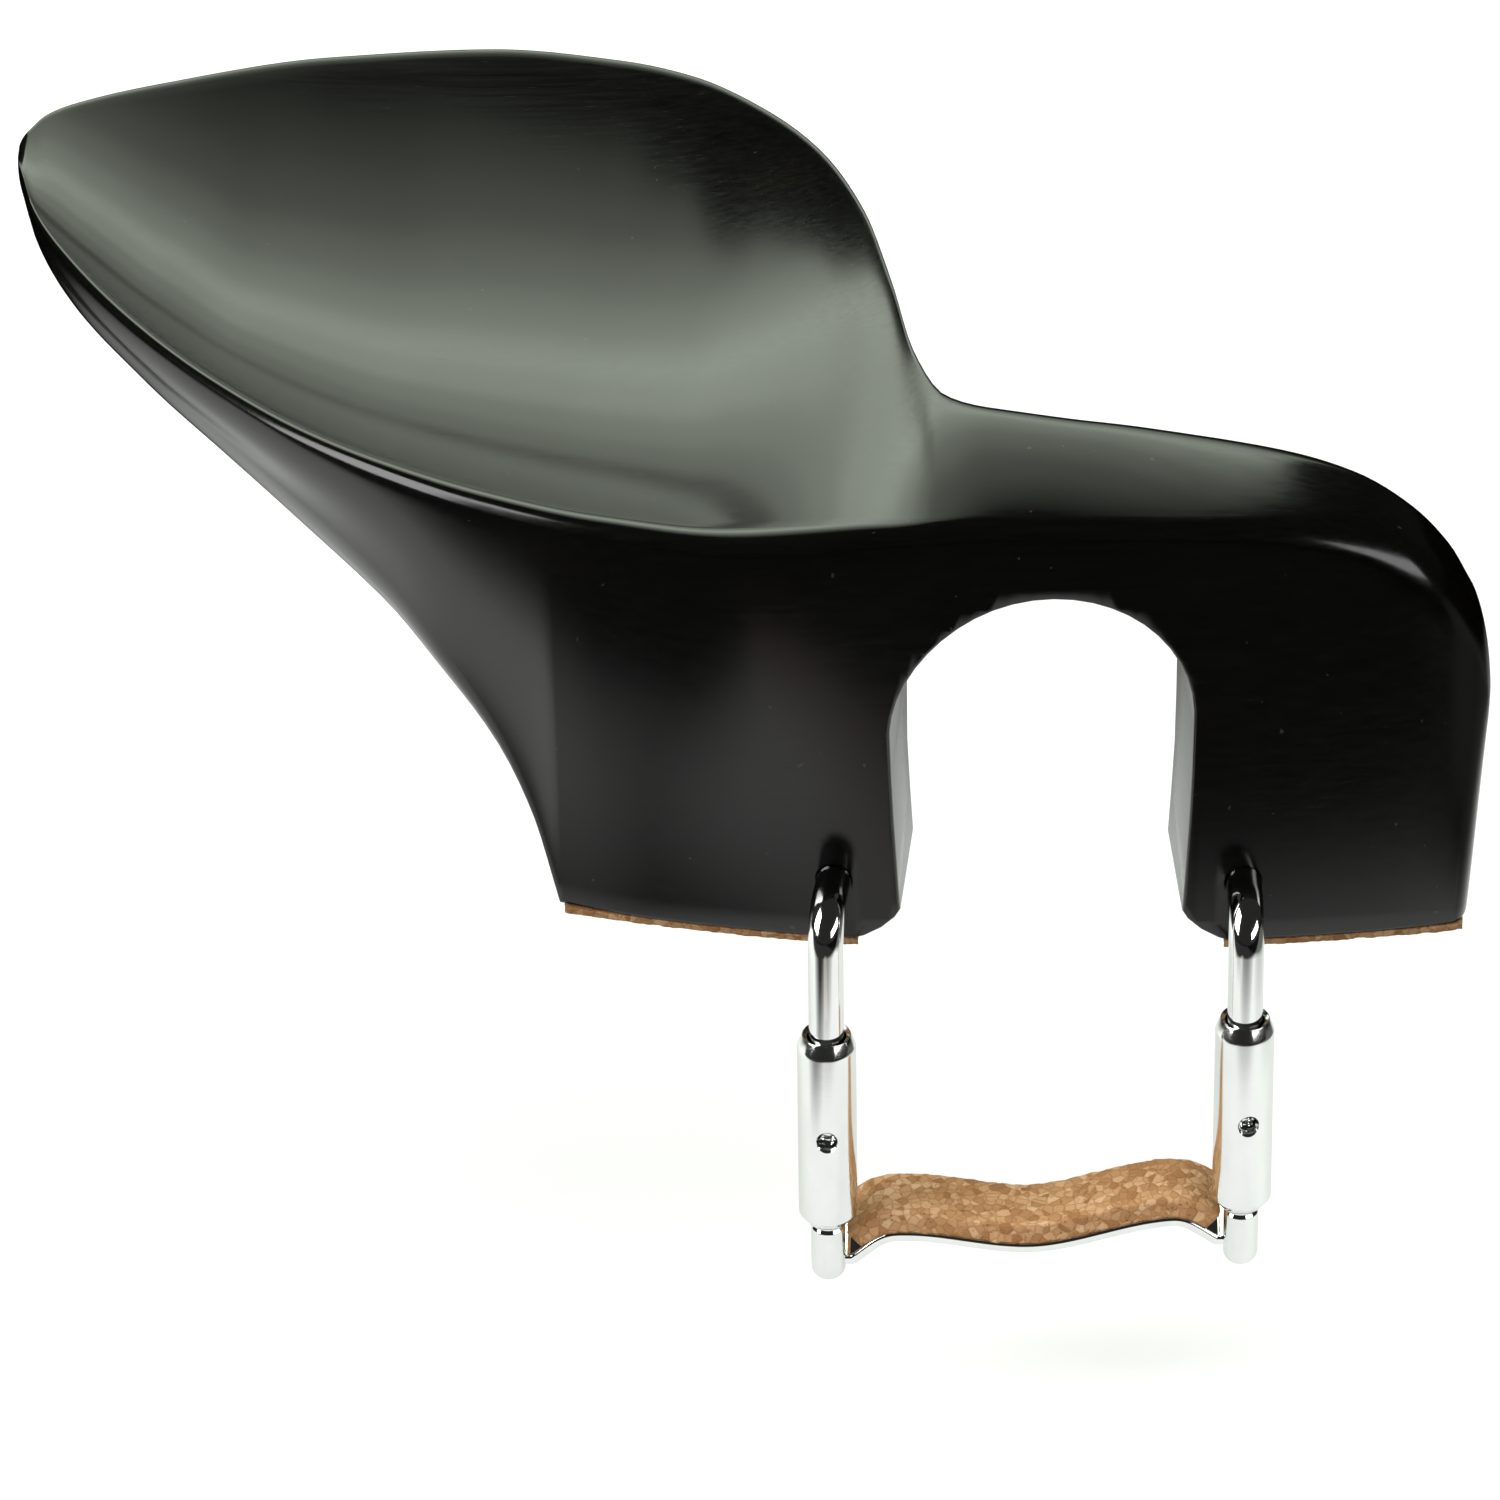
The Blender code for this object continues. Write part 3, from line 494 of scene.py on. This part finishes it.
def hook_direction(side):
    angle = math.radians(LEG_ANGLE[side])
    return Vector((math.sin(angle), math.cos(angle), 0.0))


def hole_cutter(side, body):
    """Blind hole for a hook, eased at its mouth."""
    tree = BVHTree.FromObject(body, bpy.context.evaluated_depsgraph_get())
    ahead = hook_direction(side)
    start = Vector((POST[side].x, POST_Y, HOLE_Z))
    mouth = (tree.ray_cast(start * MM, ahead)[0] / MM - start).length
    flare = 0.4                     # the cutter's cone reaches this far before the wood
    profile = [(HOLE_R + HOLE_LIP + flare, -flare), (HOLE_R, HOLE_LIP), (HOLE_R, HOLE_DEPTH)]
    cutter = lathe(side + "_hole", profile, (0, 0, 0), 48)
    turn = ahead.to_track_quat("Z", "Y").to_matrix().to_4x4()
    cutter.matrix_world = Matrix.Translation((start + ahead * mouth) * MM) @ turn
    bpy.context.view_layer.update()
    return cutter


def build_body():
    rings = body_rings()
    across = STEPS["edge"] + STEPS["face"] + STEPS["lip"] // 2 + 1
    faces = loft_faces(len(rings), rings.shape[1], across)
    body = mesh_object("carved_body", rings.reshape(-1, 3), faces)
    for side in SIDES:
        cut(body, hole_cutter(side, body))
    cut(body, arch_cutter(body))
    sharpen(body, 38)
    return body


# ---- clamp ----
def thread_depth(turn, height):
    """How far a V thread lies below its crest at this turn and height."""
    phase = (height / THREAD_PITCH - turn / (2 * math.pi)) % 1.0
    return THREAD_DEPTH * abs(2 * phase - 1)


def hook_stations(side):
    """Places along a hook, from its leg: centre, outward direction, and share of the thread's depth."""
    ahead = hook_direction(side)
    upward = Vector((0.0, 0.0, 1.0))
    post = Vector((POST[side].x, POST_Y, 0.0))
    leg = (HOOK[side][1].y - POST_Y) / ahead.y - LEG_SHORT
    stations = []
    for out in (leg, leg * 0.5, BEND_R + 0.6):
        stations.append((post + ahead * out + upward * HOLE_Z, upward, 0.0))
    for turn in np.linspace(0, math.pi / 2, 19):
        height = HOLE_Z - BEND_R * (1 - math.cos(turn))
        centre = post + ahead * BEND_R * (1 - math.sin(turn)) + upward * height
        stations.append((centre, upward * math.cos(turn) - ahead * math.sin(turn), 0.0))
    thread_top = BARREL_TOP[side] - THREAD_START
    stations.append((post + upward * (thread_top + 0.05), -ahead, 0.0))
    for z in np.arange(thread_top, HOOK[side][0].z + 0.3, -THREAD_PITCH / 6):
        stations.append((post + upward * float(z), -ahead, min(1.0, (thread_top - z) / THREAD_PITCH)))
    return stations


def build_hook(side):
    """Bent rod: smooth leg and bend, then a thread that starts inside the barrel's mouth."""
    sides = 32
    ahead = hook_direction(side)
    across = Vector((ahead.y, -ahead.x, 0.0))
    turns = [2 * math.pi * j / sides for j in range(sides)]
    stations = hook_stations(side)
    points = []
    for centre, normal, threaded in stations:
        for turn in turns:
            radius = ROD_R - threaded * thread_depth(turn, centre.z)
            points.append(centre + normal * (math.cos(turn) * radius) + across * (math.sin(turn) * radius))
    tip = Vector((POST[side].x, POST_Y, HOOK[side][0].z))
    for turn in turns:
        spoke = across * math.sin(turn) - ahead * math.cos(turn)
        points.append(tip + spoke * THREAD_TIP_R)
    rod = mesh_object(side + "_rod", points, tube_faces(len(stations) + 1, sides))
    sharpen(rod, 60)
    return rod


def key_cutter(side, centre):
    """Hole for the turning key, right through the barrel and flared at both mouths."""
    past = 0.6                      # the cutter reaches this far out of the barrel
    mouth = BARREL_R - KEY_LIP - 0.06
    profile = [(KEY_R + KEY_LIP + past, -BARREL_R - past), (KEY_R, -mouth), (KEY_R, mouth),
               (KEY_R + KEY_LIP + past, BARREL_R + past)]
    key = lathe(side + "_key", profile, (0, 0, 0), 40)
    turn = Matrix.Rotation(KEY_TURN[side], 4, "Z") @ Matrix.Rotation(math.pi / 2, 4, "X")
    key.matrix_world = Matrix.Translation(centre * MM) @ turn
    bpy.context.view_layer.update()
    return key


def build_barrel(side):
    """Turnbuckle nut: dished top, long bevel, eased foot, and a key hole right through."""
    length = BARREL_TOP[side] - BARREL_FOOT[side]
    top = Vector((POST[side].x, POST_Y, BARREL_TOP[side]))
    corners = [  # radius, height, how much the corner is rounded
        (BARREL_MOUTH_R, 0.0, 0.08), (BARREL_R, -BARREL_BEVEL, 0.16), (BARREL_R, -length + BARREL_BASE, 0.12),
        (BARREL_BASE_R, -length, 0.06), (BORE_R, -length + 0.12, 0.03), (BORE_R, -0.45, 0.03),
        (BORE_R + 0.08, -0.22, 0.03)]
    barrel = lathe(side + "_nut", eased(corners, closed=True), top, 96, ring=True)
    cut(barrel, key_cutter(side, top - Vector((0.0, 0.0, length / 2))))
    sharpen(barrel, 30)
    return barrel


def build_stud(side):
    """Bracket post: thin neck inside the barrel, chamfered shoulder, round end."""
    low, high = STUD[side][0].z, STUD[side][1].z
    radius = (STUD[side][1].y - STUD[side][0].y) / 2 + STUD_PROUD
    shoulder = BARREL_FOOT[side] - SHOULDER
    neck_tip, neck = NECK_R
    corners = [  # radius, height, how much the corner is rounded
        (AXIS_R, high, 0.0), (neck_tip, high, 0.0), (neck, high - 0.2, 0.0), (neck, shoulder + 0.3, 0.05),
        (radius, shoulder, 0.05), (radius, low + STUD_ROUND + 0.2, 0.0)]
    foot = [(radius - STUD_ROUND * (1 - math.cos(t)), low + STUD_ROUND * (1 - math.sin(t)))
            for t in np.linspace(0, math.pi / 2, 12)]
    profile = eased(corners) + foot + [(AXIS_R, low)]
    stud = lathe(side + "_post", profile, (POST[side].x, POST_Y, 0.0), 64)
    sharpen(stud, 40)
    return stud


# ---- bracket strip and corks ----
def strip_line(x):
    """Front edge of the bracket strip's underside: its y and z. The strip waves down and forward."""
    down = [(-STRIP_END, -2.1), (-STRIP_DIP, 0.0), (0.0, -1.0), (STRIP_DIP, 0.0), (STRIP_END, -2.1)]
    forward = [(-STRIP_END, 0.0), (-STRIP_DIP, 0.0), (0.0, -1.2), (STRIP_DIP, 0.0), (STRIP_END, 0.0)]
    return (STRIP_FRONT + smooth_line(forward, x)[:, 0],
            STRIP_Z + STRIP_SLOPE * x + smooth_line(down, x)[:, 0])


def slab_outline(width, height, edge, along, up):
    """Rounded rectangle from (0, 0) to (width, height), counted along each side."""
    points = []
    corners = [((edge, edge), math.pi), ((width - edge, edge), 1.5 * math.pi),
               ((width - edge, height - edge), 0.0), ((edge, height - edge), 0.5 * math.pi)]
    steps = [along, up, along, up]
    for i, ((cx, cy), start) in enumerate(corners):
        for t in np.linspace(start, start + math.pi / 2, 5):
            points.append((cx + edge * math.cos(t), cy + edge * math.sin(t)))
        (nx, ny), next_start = corners[(i + 1) % 4]
        last = points[-1]
        following = (nx + edge * math.cos(next_start), ny + edge * math.sin(next_start))
        for t in np.linspace(0, 1, steps[i] + 1)[1:-1]:
            points.append((last[0] + (following[0] - last[0]) * t, last[1] + (following[1] - last[1]) * t))
    return points


def swept_slab(xs, front, base, slopes, outline):
    """A slab along X: at each x its outline stands on (front, base), square to the line's slope."""
    points = []
    for x, y, z, slope in zip(xs, front, base, slopes):
        tilt = math.hypot(1.0, slope)
        for across, rise in outline:
            points.append((x - rise * slope / tilt, y + across, z + rise / tilt))
    return points, tube_faces(len(xs), len(outline))


def roughen(points, amount, scale, seed):
    """Moves each point a little by smooth noise, for cut cork; the seed makes it the same each time."""
    noise.seed_set(seed)
    shift = Vector((seed, 2 * seed, 3 * seed))
    moved = []
    for point in points:
        here = Vector(point)
        push = noise.noise_vector(here * scale + shift) * amount
        push += noise.noise_vector(here * scale * 2.7 - shift) * amount * 0.5
        moved.append(here + push)
    return moved


def build_plate():
    xs = np.linspace(-STRIP_END - STRIP_TAB, STRIP_END + STRIP_TAB, 121)
    front, base = strip_line(np.clip(xs, -STRIP_END, STRIP_END))
    outline = slab_outline(STRIP_DEPTH, STRIP_THICK, edge=0.28, along=10, up=2)
    points, faces = swept_slab(xs, front, base, np.gradient(base, xs), outline)
    plate = mesh_object("bracket_strip", points, faces)
    sharpen(plate, 50)
    return plate


def build_bracket_cork():
    """The pad lies on the strip, so its base is the strip's line moved square to the slope."""
    xs = np.linspace(-PAD_END, PAD_END, 140)
    front, base = strip_line(xs)
    slope = np.gradient(base, xs)
    tilt = np.hypot(1.0, slope)
    xs = xs - STRIP_THICK * slope / tilt
    base = base + STRIP_THICK / tilt
    inset = 0.05
    outline = slab_outline(STRIP_DEPTH - 2 * inset, PAD_THICK, edge=0.22, along=26, up=6)
    points, faces = swept_slab(xs, front + inset, base, slope, outline)
    return mesh_object("bracket_pad", roughen(points, *CORK_CUT["bracket"]), faces)


def build_foot_cork(side):
    """A pad between the arch's chamfer and the foot's outer end, flat above and below."""
    arch_end = ARCH_HALF - ARCH_CLOSE + ARCH_CORNER[0] - FOOT_CORK_UNDER
    if side == "left":
        first, last = FOOT_CORK_ENDS[0], ARCH_X - arch_end
    else:
        first, last = ARCH_X + arch_end, FOOT_CORK_ENDS[1]
    xs = np.linspace(first, last, 90)
    outline = slab_outline(FOOT_DEPTH - FOOT_CORK_SHORT, WOOD_Z, edge=0.12, along=36, up=5)
    points = []
    for x in xs:
        front = face_line(x) + FOOT_CORK_INSET
        for across, rise in outline:
            points.append((x, front + across, rise))
    rough = roughen(points, *CORK_CUT[side])
    flat = [(point.x, point.y, min(max(point.z, 0.0), WOOD_Z)) for point in rough]
    return mesh_object(side + "_pad", flat, tube_faces(len(xs), len(outline)))


# ---- materials ----
class Nodes:
    """Short way to add and link shader nodes."""

    def __init__(self, name):
        self.material = bpy.data.materials.new(name)
        self.material.use_nodes = True
        self.tree = self.material.node_tree
        self.shader = self.tree.nodes["Principled BSDF"]

    def add(self, kind, **settings):
        node = self.tree.nodes.new(kind)
        for key, value in settings.items():
            if key in node.inputs:
                node.inputs[key].default_value = value
            else:
                setattr(node, key, value)
        return node

    def link(self, source, target):
        self.tree.links.new(source, target)

    def feed(self, socket, value):
        """Links another node's output to the socket, or gives the socket a plain value."""
        if hasattr(value, "node"):
            self.link(value, socket)
        else:
            socket.default_value = value

    def place(self, scale):
        """Object coordinates in millimetres, scaled."""
        coordinates = self.add("ShaderNodeTexCoord")
        mapping = self.add("ShaderNodeMapping", Scale=tuple(s / MM for s in scale))
        self.link(coordinates.outputs["Object"], mapping.inputs["Vector"])
        return mapping.outputs["Vector"]

    def noise(self, scale, detail=2.0, roughness=0.5):
        node = self.add("ShaderNodeTexNoise", Scale=1.0, Detail=detail, Roughness=roughness)
        self.link(self.place(scale), node.inputs["Vector"])
        return node.outputs["Fac"]

    def ramp(self, value, stops):
        node = self.add("ShaderNodeValToRGB")
        while len(node.color_ramp.elements) < len(stops):
            node.color_ramp.elements.new(0.5)
        for element, (position, colour) in zip(node.color_ramp.elements, stops):
            element.position = position
            element.color = (*colour, 1.0)
        self.link(value, node.inputs["Fac"])
        return node.outputs["Color"]

    def remap(self, value, low, high, to_low, to_high):
        node = self.add("ShaderNodeMapRange", **{"From Min": low, "From Max": high,
                                                 "To Min": to_low, "To Max": to_high})
        self.link(value, node.inputs["Value"])
        return node.outputs["Result"]

    def mix(self, factor, first, second, blend="MIX"):
        """Two colours mixed; the node has its factor at input 0 and its colours at 6 and 7."""
        node = self.add("ShaderNodeMix", data_type="RGBA", blend_type=blend)
        self.feed(node.inputs[0], factor)
        for colour, index in ((first, 6), (second, 7)):
            self.feed(node.inputs[index], colour if hasattr(colour, "node") else (*colour, 1.0))
        return node.outputs[2]

    def math(self, operation, first, second):
        node = self.add("ShaderNodeMath", operation=operation)
        self.feed(node.inputs[0], first)
        self.feed(node.inputs[1], second)
        return node.outputs[0]

    def bump(self, height, strength, distance):
        node = self.add("ShaderNodeBump", Strength=strength, Distance=distance * MM)
        self.link(height, node.inputs["Height"])
        self.link(node.outputs["Normal"], self.shader.inputs["Normal"])

    def set(self, **values):
        for key, value in values.items():
            self.feed(self.shader.inputs[key.replace("_", " ")], value)


def ebony():
    """Nearly black wood with a polish: faint figure along X, fine grain, open pores and a few pale specks."""
    wood = Nodes("ebony")
    figure = wood.noise((0.012, 0.16, 0.16), 3.0, 0.55)
    grain = wood.noise((0.05, 2.6, 2.6), 4.0, 0.6)
    pores = wood.noise((0.55, 7.0, 7.0), 1.0, 0.4)
    specks = wood.noise((1.7, 1.7, 1.7), 0.0, 0.0)
    tint = wood.ramp(figure, [(0.35, (0.0013, 0.0014, 0.0012)), (0.60, (0.0019, 0.0018, 0.0014)),
                              (0.75, (0.0030, 0.0022, 0.0016))])
    streak = wood.remap(grain, 0.3, 0.7, 0.7, 1.35)
    tinted = wood.mix(1.0, tint, streak, "MULTIPLY")
    pore = wood.remap(pores, 0.70, 0.80, 0.0, 0.8)
    speck = wood.remap(specks, 0.86, 0.88, 0.0, 0.5)
    coloured = wood.mix(pore, tinted, (0.0012, 0.0011, 0.0010))
    coloured = wood.mix(speck, coloured, (0.05, 0.045, 0.035))
    base_rough = wood.remap(grain, 0.3, 0.7, 0.14, 0.19)
    rough = wood.math("ADD", base_rough, wood.math("MULTIPLY", pore, 0.12))
    height = wood.math("SUBTRACT", wood.math("MULTIPLY", grain, 0.25), pore)
    wood.bump(height, 0.15, 0.015)
    wood.set(Base_Color=coloured, Roughness=rough, IOR=1.5, Specular_IOR_Level=0.5)
    return wood.material


def chrome(name, turned):
    """Bright plating with slight wear; a turned piece also has fine lathe rings."""
    metal = Nodes(name)
    wear = metal.noise((0.6, 0.6, 0.25), 3.0, 0.6)
    colour = metal.ramp(wear, [(0.3, (0.86, 0.88, 0.87)), (0.7, (0.93, 0.94, 0.93))])
    rough = metal.remap(wear, 0.3, 0.7, 0.05, 0.10)
    if turned:
        lines = metal.noise((0.05, 0.05, 14.0), 2.0, 0.6)
        metal.bump(lines, 0.12, 0.01)
        rough = metal.math("ADD", rough, metal.remap(lines, 0.3, 0.7, 0.03, 0.09))
    metal.set(Base_Color=colour, Roughness=rough, Metallic=1.0)
    return metal.material


def cork(name, shade_factor):
    """Pressed granules with dark seams, flecks and pits."""
    pad = Nodes(name)
    granule = (1.25, 1.25, 1.25)
    granules = pad.add("ShaderNodeTexVoronoi", feature="F1", Scale=1.0, Randomness=1.0)
    pad.link(pad.place(granule), granules.inputs["Vector"])
    joints = pad.add("ShaderNodeTexVoronoi", feature="DISTANCE_TO_EDGE", Scale=1.0, Randomness=1.0)
    pad.link(pad.place(granule), joints.inputs["Vector"])
    shade = pad.add("ShaderNodeSeparateColor")
    pad.link(granules.outputs["Color"], shade.inputs["Color"])
    tone = pad.ramp(shade.outputs[0], [(0.0, (0.36, 0.17, 0.065)), (0.35, (0.50, 0.27, 0.12)),
                                       (0.7, (0.60, 0.35, 0.17)), (1.0, (0.70, 0.45, 0.25))])
    seam = pad.remap(joints.outputs["Distance"], 0.0, 0.14, 1.0, 0.0)
    fine = pad.noise((3.5, 3.5, 3.5), 4.0, 0.65)
    fleck = pad.remap(fine, 0.60, 0.68, 0.0, 0.85)
    coloured = pad.mix(pad.math("MULTIPLY", seam, 0.5), tone, (0.33, 0.15, 0.055))
    coloured = pad.mix(fleck, coloured, (0.20, 0.085, 0.03))
    pit = pad.math("ADD", pad.math("MULTIPLY", seam, 0.6), fleck)
    # shade_factor darkens the whole pad evenly: painted shade, not the cork's own colour
    coloured = pad.mix(1.0, coloured, (shade_factor,) * 3, "MULTIPLY")
    pad.bump(pad.math("SUBTRACT", fine, pit), 0.6, 0.12)
    pad.set(Base_Color=coloured, Roughness=pad.remap(fine, 0.3, 0.7, 0.8, 0.95), Specular_IOR_Level=0.2)
    return pad.material


# ---- camera, light and floor ----
# camera, in millimetres
VIEW_TURN = math.radians(1.8)       # camera's azimuth, from straight ahead towards +X
VIEW_RISE = math.radians(32.7)
VIEW_ROLL = math.radians(-0.9)
VIEW_DISTANCE = 700.0
VIEW_TARGET = Vector((-23.0, 0.0, 19.5))
FRAME_WIDTH = 120.482               # width of the picture at the target

# light and floor, in metres
ROOM = (0.020, 0.020, 0.019, 1.0)   # the dim room that the part mirrors
DAYLIGHT = (0.90, 1.0, 0.84)
WINDOW_TURN = math.radians(-29.0)
WINDOW_EDGE = (0.208, 0.496)        # right end of the window, which every band starts from
WINDOW_WIDTH = 1.07
WINDOW_LEVELS = [0.13, 0.21, 0.30, 0.41, 0.54, 0.70, 0.95, 1.30, 1.90, 2.80]     # heights between its bands
WINDOW_RADIANCE = [0.3, 1.1, 1.8, 3.1, 4.2, 3.2, 2.2, 1.3, 0.7]                  # of each band, lowest first
SIDE_LIGHTS = {                     # azimuth, distance and height; size; radiance
    "left_high": ((-110, 0.60, 0.40), (0.34, 0.60), 7.0),
    "right_low": ((122, 0.60, 0.17), (0.56, 0.15), 4.0)}
FILL_LIGHTS = {                     # place; size; radiance
    "ceiling": ((0.0, -0.05, 1.1), (1.2, 1.2), 2.5),
    "front_fill": ((-0.1, -0.9, 0.5), (0.8, 0.6), 2.4)}
CARD_PLACE = (-0.018, -0.071, -0.036)    # a small brown card, which tints the front face beside the arch
CARD_SIZE = (0.020, 0.030)
CARD_COLOUR = (1.0, 0.66, 0.52)
CARD_RADIANCE = 0.18
FLOOR_REACH = 3.0
FLOOR_WHITE = 0.93                  # as the camera sees it
SHEET_FRONT = (-0.062, -0.022)      # what the part mirrors of the floor fades out ahead, between these
SHEET_SLANT = (-0.059, -0.029, 0.034)    # from one x to the other it comes to reach this much further ahead
SHEET_BACK = (0.08, 0.13)           # it fades out behind between these
SHEET_RIGHT = (0.07, 0.12)          # and towards the right between these


def add_camera():
    ahead = Vector((-math.sin(VIEW_TURN) * math.cos(VIEW_RISE), math.cos(VIEW_TURN) * math.cos(VIEW_RISE),
                    -math.sin(VIEW_RISE)))
    level = Vector((math.cos(VIEW_TURN), math.sin(VIEW_TURN), 0.0))
    above = level.cross(ahead)
    right = level * math.cos(VIEW_ROLL) + above * math.sin(VIEW_ROLL)
    top = above * math.cos(VIEW_ROLL) - level * math.sin(VIEW_ROLL)
    lens = bpy.data.cameras.new("camera")
    lens.sensor_width = 36.0
    lens.lens = lens.sensor_width * VIEW_DISTANCE / FRAME_WIDTH
    lens.clip_start = 0.01
    camera = bpy.data.objects.new("camera", lens)
    bpy.context.scene.collection.objects.link(camera)
    place = Matrix((right, top, -ahead)).transposed().to_4x4()
    camera.matrix_world = Matrix.Translation((VIEW_TARGET - ahead * VIEW_DISTANCE) * MM) @ place
    bpy.context.scene.camera = camera


def add_softbox(name, place, size, radiance, colour=(1.0, 1.0, 1.0), aim=(0.0, 0.0, 0.0), mirrored=True):
    """A soft rectangular light, given by how bright its face looks; only a mirrored one shows in gloss."""
    lamp = bpy.data.lights.new(name, "AREA")
    lamp.shape = "RECTANGLE"
    lamp.size, lamp.size_y = size
    lamp.energy = radiance * math.pi * size[0] * size[1]
    lamp.color = colour
    made = bpy.data.objects.new(name, lamp)
    bpy.context.scene.collection.objects.link(made)
    made.location = place
    made.rotation_euler = (Vector(aim) - Vector(place)).to_track_quat("-Z", "Y").to_euler()
    made.visible_camera = False
    made.visible_glossy = mirrored


def around(azimuth, distance, height):
    """A place round the part: azimuth in degrees from straight behind it towards +X."""
    turn = math.radians(azimuth)
    return (distance * math.sin(turn), distance * math.cos(turn), height)


def add_world():
    """White to the camera, a dim room to everything that lights or mirrors."""
    world = bpy.data.worlds.new("studio")
    bpy.context.scene.world = world
    world.use_nodes = True
    tree = world.node_tree
    backdrop = tree.nodes["Background"]
    backdrop.inputs["Color"].default_value = (1.0, 1.0, 1.0, 1.0)
    room = tree.nodes.new("ShaderNodeBackground")
    room.inputs["Color"].default_value = ROOM
    rays = tree.nodes.new("ShaderNodeLightPath")
    mix = tree.nodes.new("ShaderNodeMixShader")
    tree.links.new(rays.outputs["Is Camera Ray"], mix.inputs[0])
    tree.links.new(room.outputs["Background"], mix.inputs[1])
    tree.links.new(backdrop.outputs["Background"], mix.inputs[2])
    tree.links.new(mix.outputs["Shader"], tree.nodes["World Output"].inputs["Surface"])


def floor_paint():
    """White to the camera; to every other ray a pale sheet that fades out in front and behind."""
    paint = Nodes("floor_white")
    axes = paint.add("ShaderNodeSeparateXYZ")
    paint.link(paint.add("ShaderNodeNewGeometry").outputs["Position"], axes.inputs[0])
    left, right, further = SHEET_SLANT
    slant = paint.remap(axes.outputs[0], left, right, 0.0, further)
    ahead = paint.math("ADD", axes.outputs[1], slant)
    front = paint.remap(ahead, *SHEET_FRONT, 0.1, 1.0)
    back = paint.remap(axes.outputs[1], *SHEET_BACK, 0.70, 0.0)
    side = paint.remap(axes.outputs[0], *SHEET_RIGHT, 1.0, 0.15)
    sheet = paint.math("MULTIPLY", paint.math("MULTIPLY", paint.math("POWER", front, 1.6), side), back)
    rays = paint.add("ShaderNodeLightPath")
    shade = paint.add("ShaderNodeMix", data_type="FLOAT")
    paint.link(rays.outputs["Is Camera Ray"], shade.inputs[0])
    paint.link(sheet, shade.inputs[2])
    shade.inputs[3].default_value = FLOOR_WHITE
    paint.set(Base_Color=shade.outputs[0], Roughness=0.9, Specular_IOR_Level=0.0)
    return paint.material


def add_window():
    """Tall soft window behind the part, in level bands that are brightest above its middle."""
    inward = Vector((math.sin(WINDOW_TURN), -math.cos(WINDOW_TURN), 0.0))
    along = Vector((inward.y, -inward.x, 0.0))
    for count, radiance in enumerate(WINDOW_RADIANCE):
        low, high = WINDOW_LEVELS[count:count + 2]
        middle = Vector((*WINDOW_EDGE, (low + high) / 2)) + along * WINDOW_WIDTH / 2
        size = (WINDOW_WIDTH, high - low)
        add_softbox("window_%d" % count, middle, size, radiance, DAYLIGHT, aim=middle + inward)


def add_lights():
    add_window()
    for name, (spot, size, radiance) in SIDE_LIGHTS.items():
        add_softbox(name, around(*spot), size, radiance, aim=(0.0, 0.0, spot[2]))
    for name, (spot, size, radiance) in FILL_LIGHTS.items():
        add_softbox(name, spot, size, radiance, mirrored=False)
    above = (CARD_PLACE[0], CARD_PLACE[1] + 0.0001, 1.0)     # not quite upright, to settle the card's turn
    add_softbox("brown_card", CARD_PLACE, CARD_SIZE, CARD_RADIANCE, CARD_COLOUR, aim=above)


def add_floor():
    """A wide floor, 1 mm below the lowest place that the bracket reaches."""
    reach = FLOOR_REACH / MM
    floor_z = min(STUD[side][0].z for side in SIDES) - TRAVEL - 1.0
    corners = [(x * reach, y * reach, floor_z) for x, y in ((-1, -1), (1, -1), (1, 1), (-1, 1))]
    floor = mesh_object("floor", corners, [(0, 1, 2, 3)], smooth=False)
    floor.data.materials.append(floor_paint())


# ---- the whole ----
def fit(piece, look, slot, body, *nodes):
    """Gives a piece its finish, body and the CAD nodes that it stands for."""
    piece.data.materials.clear()
    piece.data.materials.append(look)
    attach(piece, body)
    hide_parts(*nodes)


def main():
    bpy.context.scene.view_settings.view_transform = "Standard"
    add_camera()
    add_world()
    add_lights()
    add_floor()
    metal = chrome("rod_chrome", False)
    turned_metal = chrome("barrel_chrome", True)
    # two copies of one cork: the foot pads' copy is darkened to 0.55 as painted shade for pads that sit under
    # the wood, the bracket's only to 0.90
    lit_cork = cork("cork", 0.90)
    shaded_cork = cork("foot_cork", 0.55)
    fit(build_body(), ebony(), "ebony", "chin_rest", "chin_plate")
    for side in SIDES:
        fit(build_foot_cork(side), shaded_cork, "cork", "chin_rest", side + "_foot_cork")
    for side in SIDES:
        fit(build_hook(side), metal, "chrome", "chin_rest", side + "_hook")
        fit(build_barrel(side), turned_metal, "barrel_chrome", side + "_turnbuckle", side + "_barrel")
        fit(build_stud(side), metal, "chrome", "bracket", side + "_stud")
    fit(build_plate(), metal, "chrome", "bracket", "bracket_plate")
    fit(build_bracket_cork(), lit_cork, "cork", "bracket", "bracket_cork")


main()
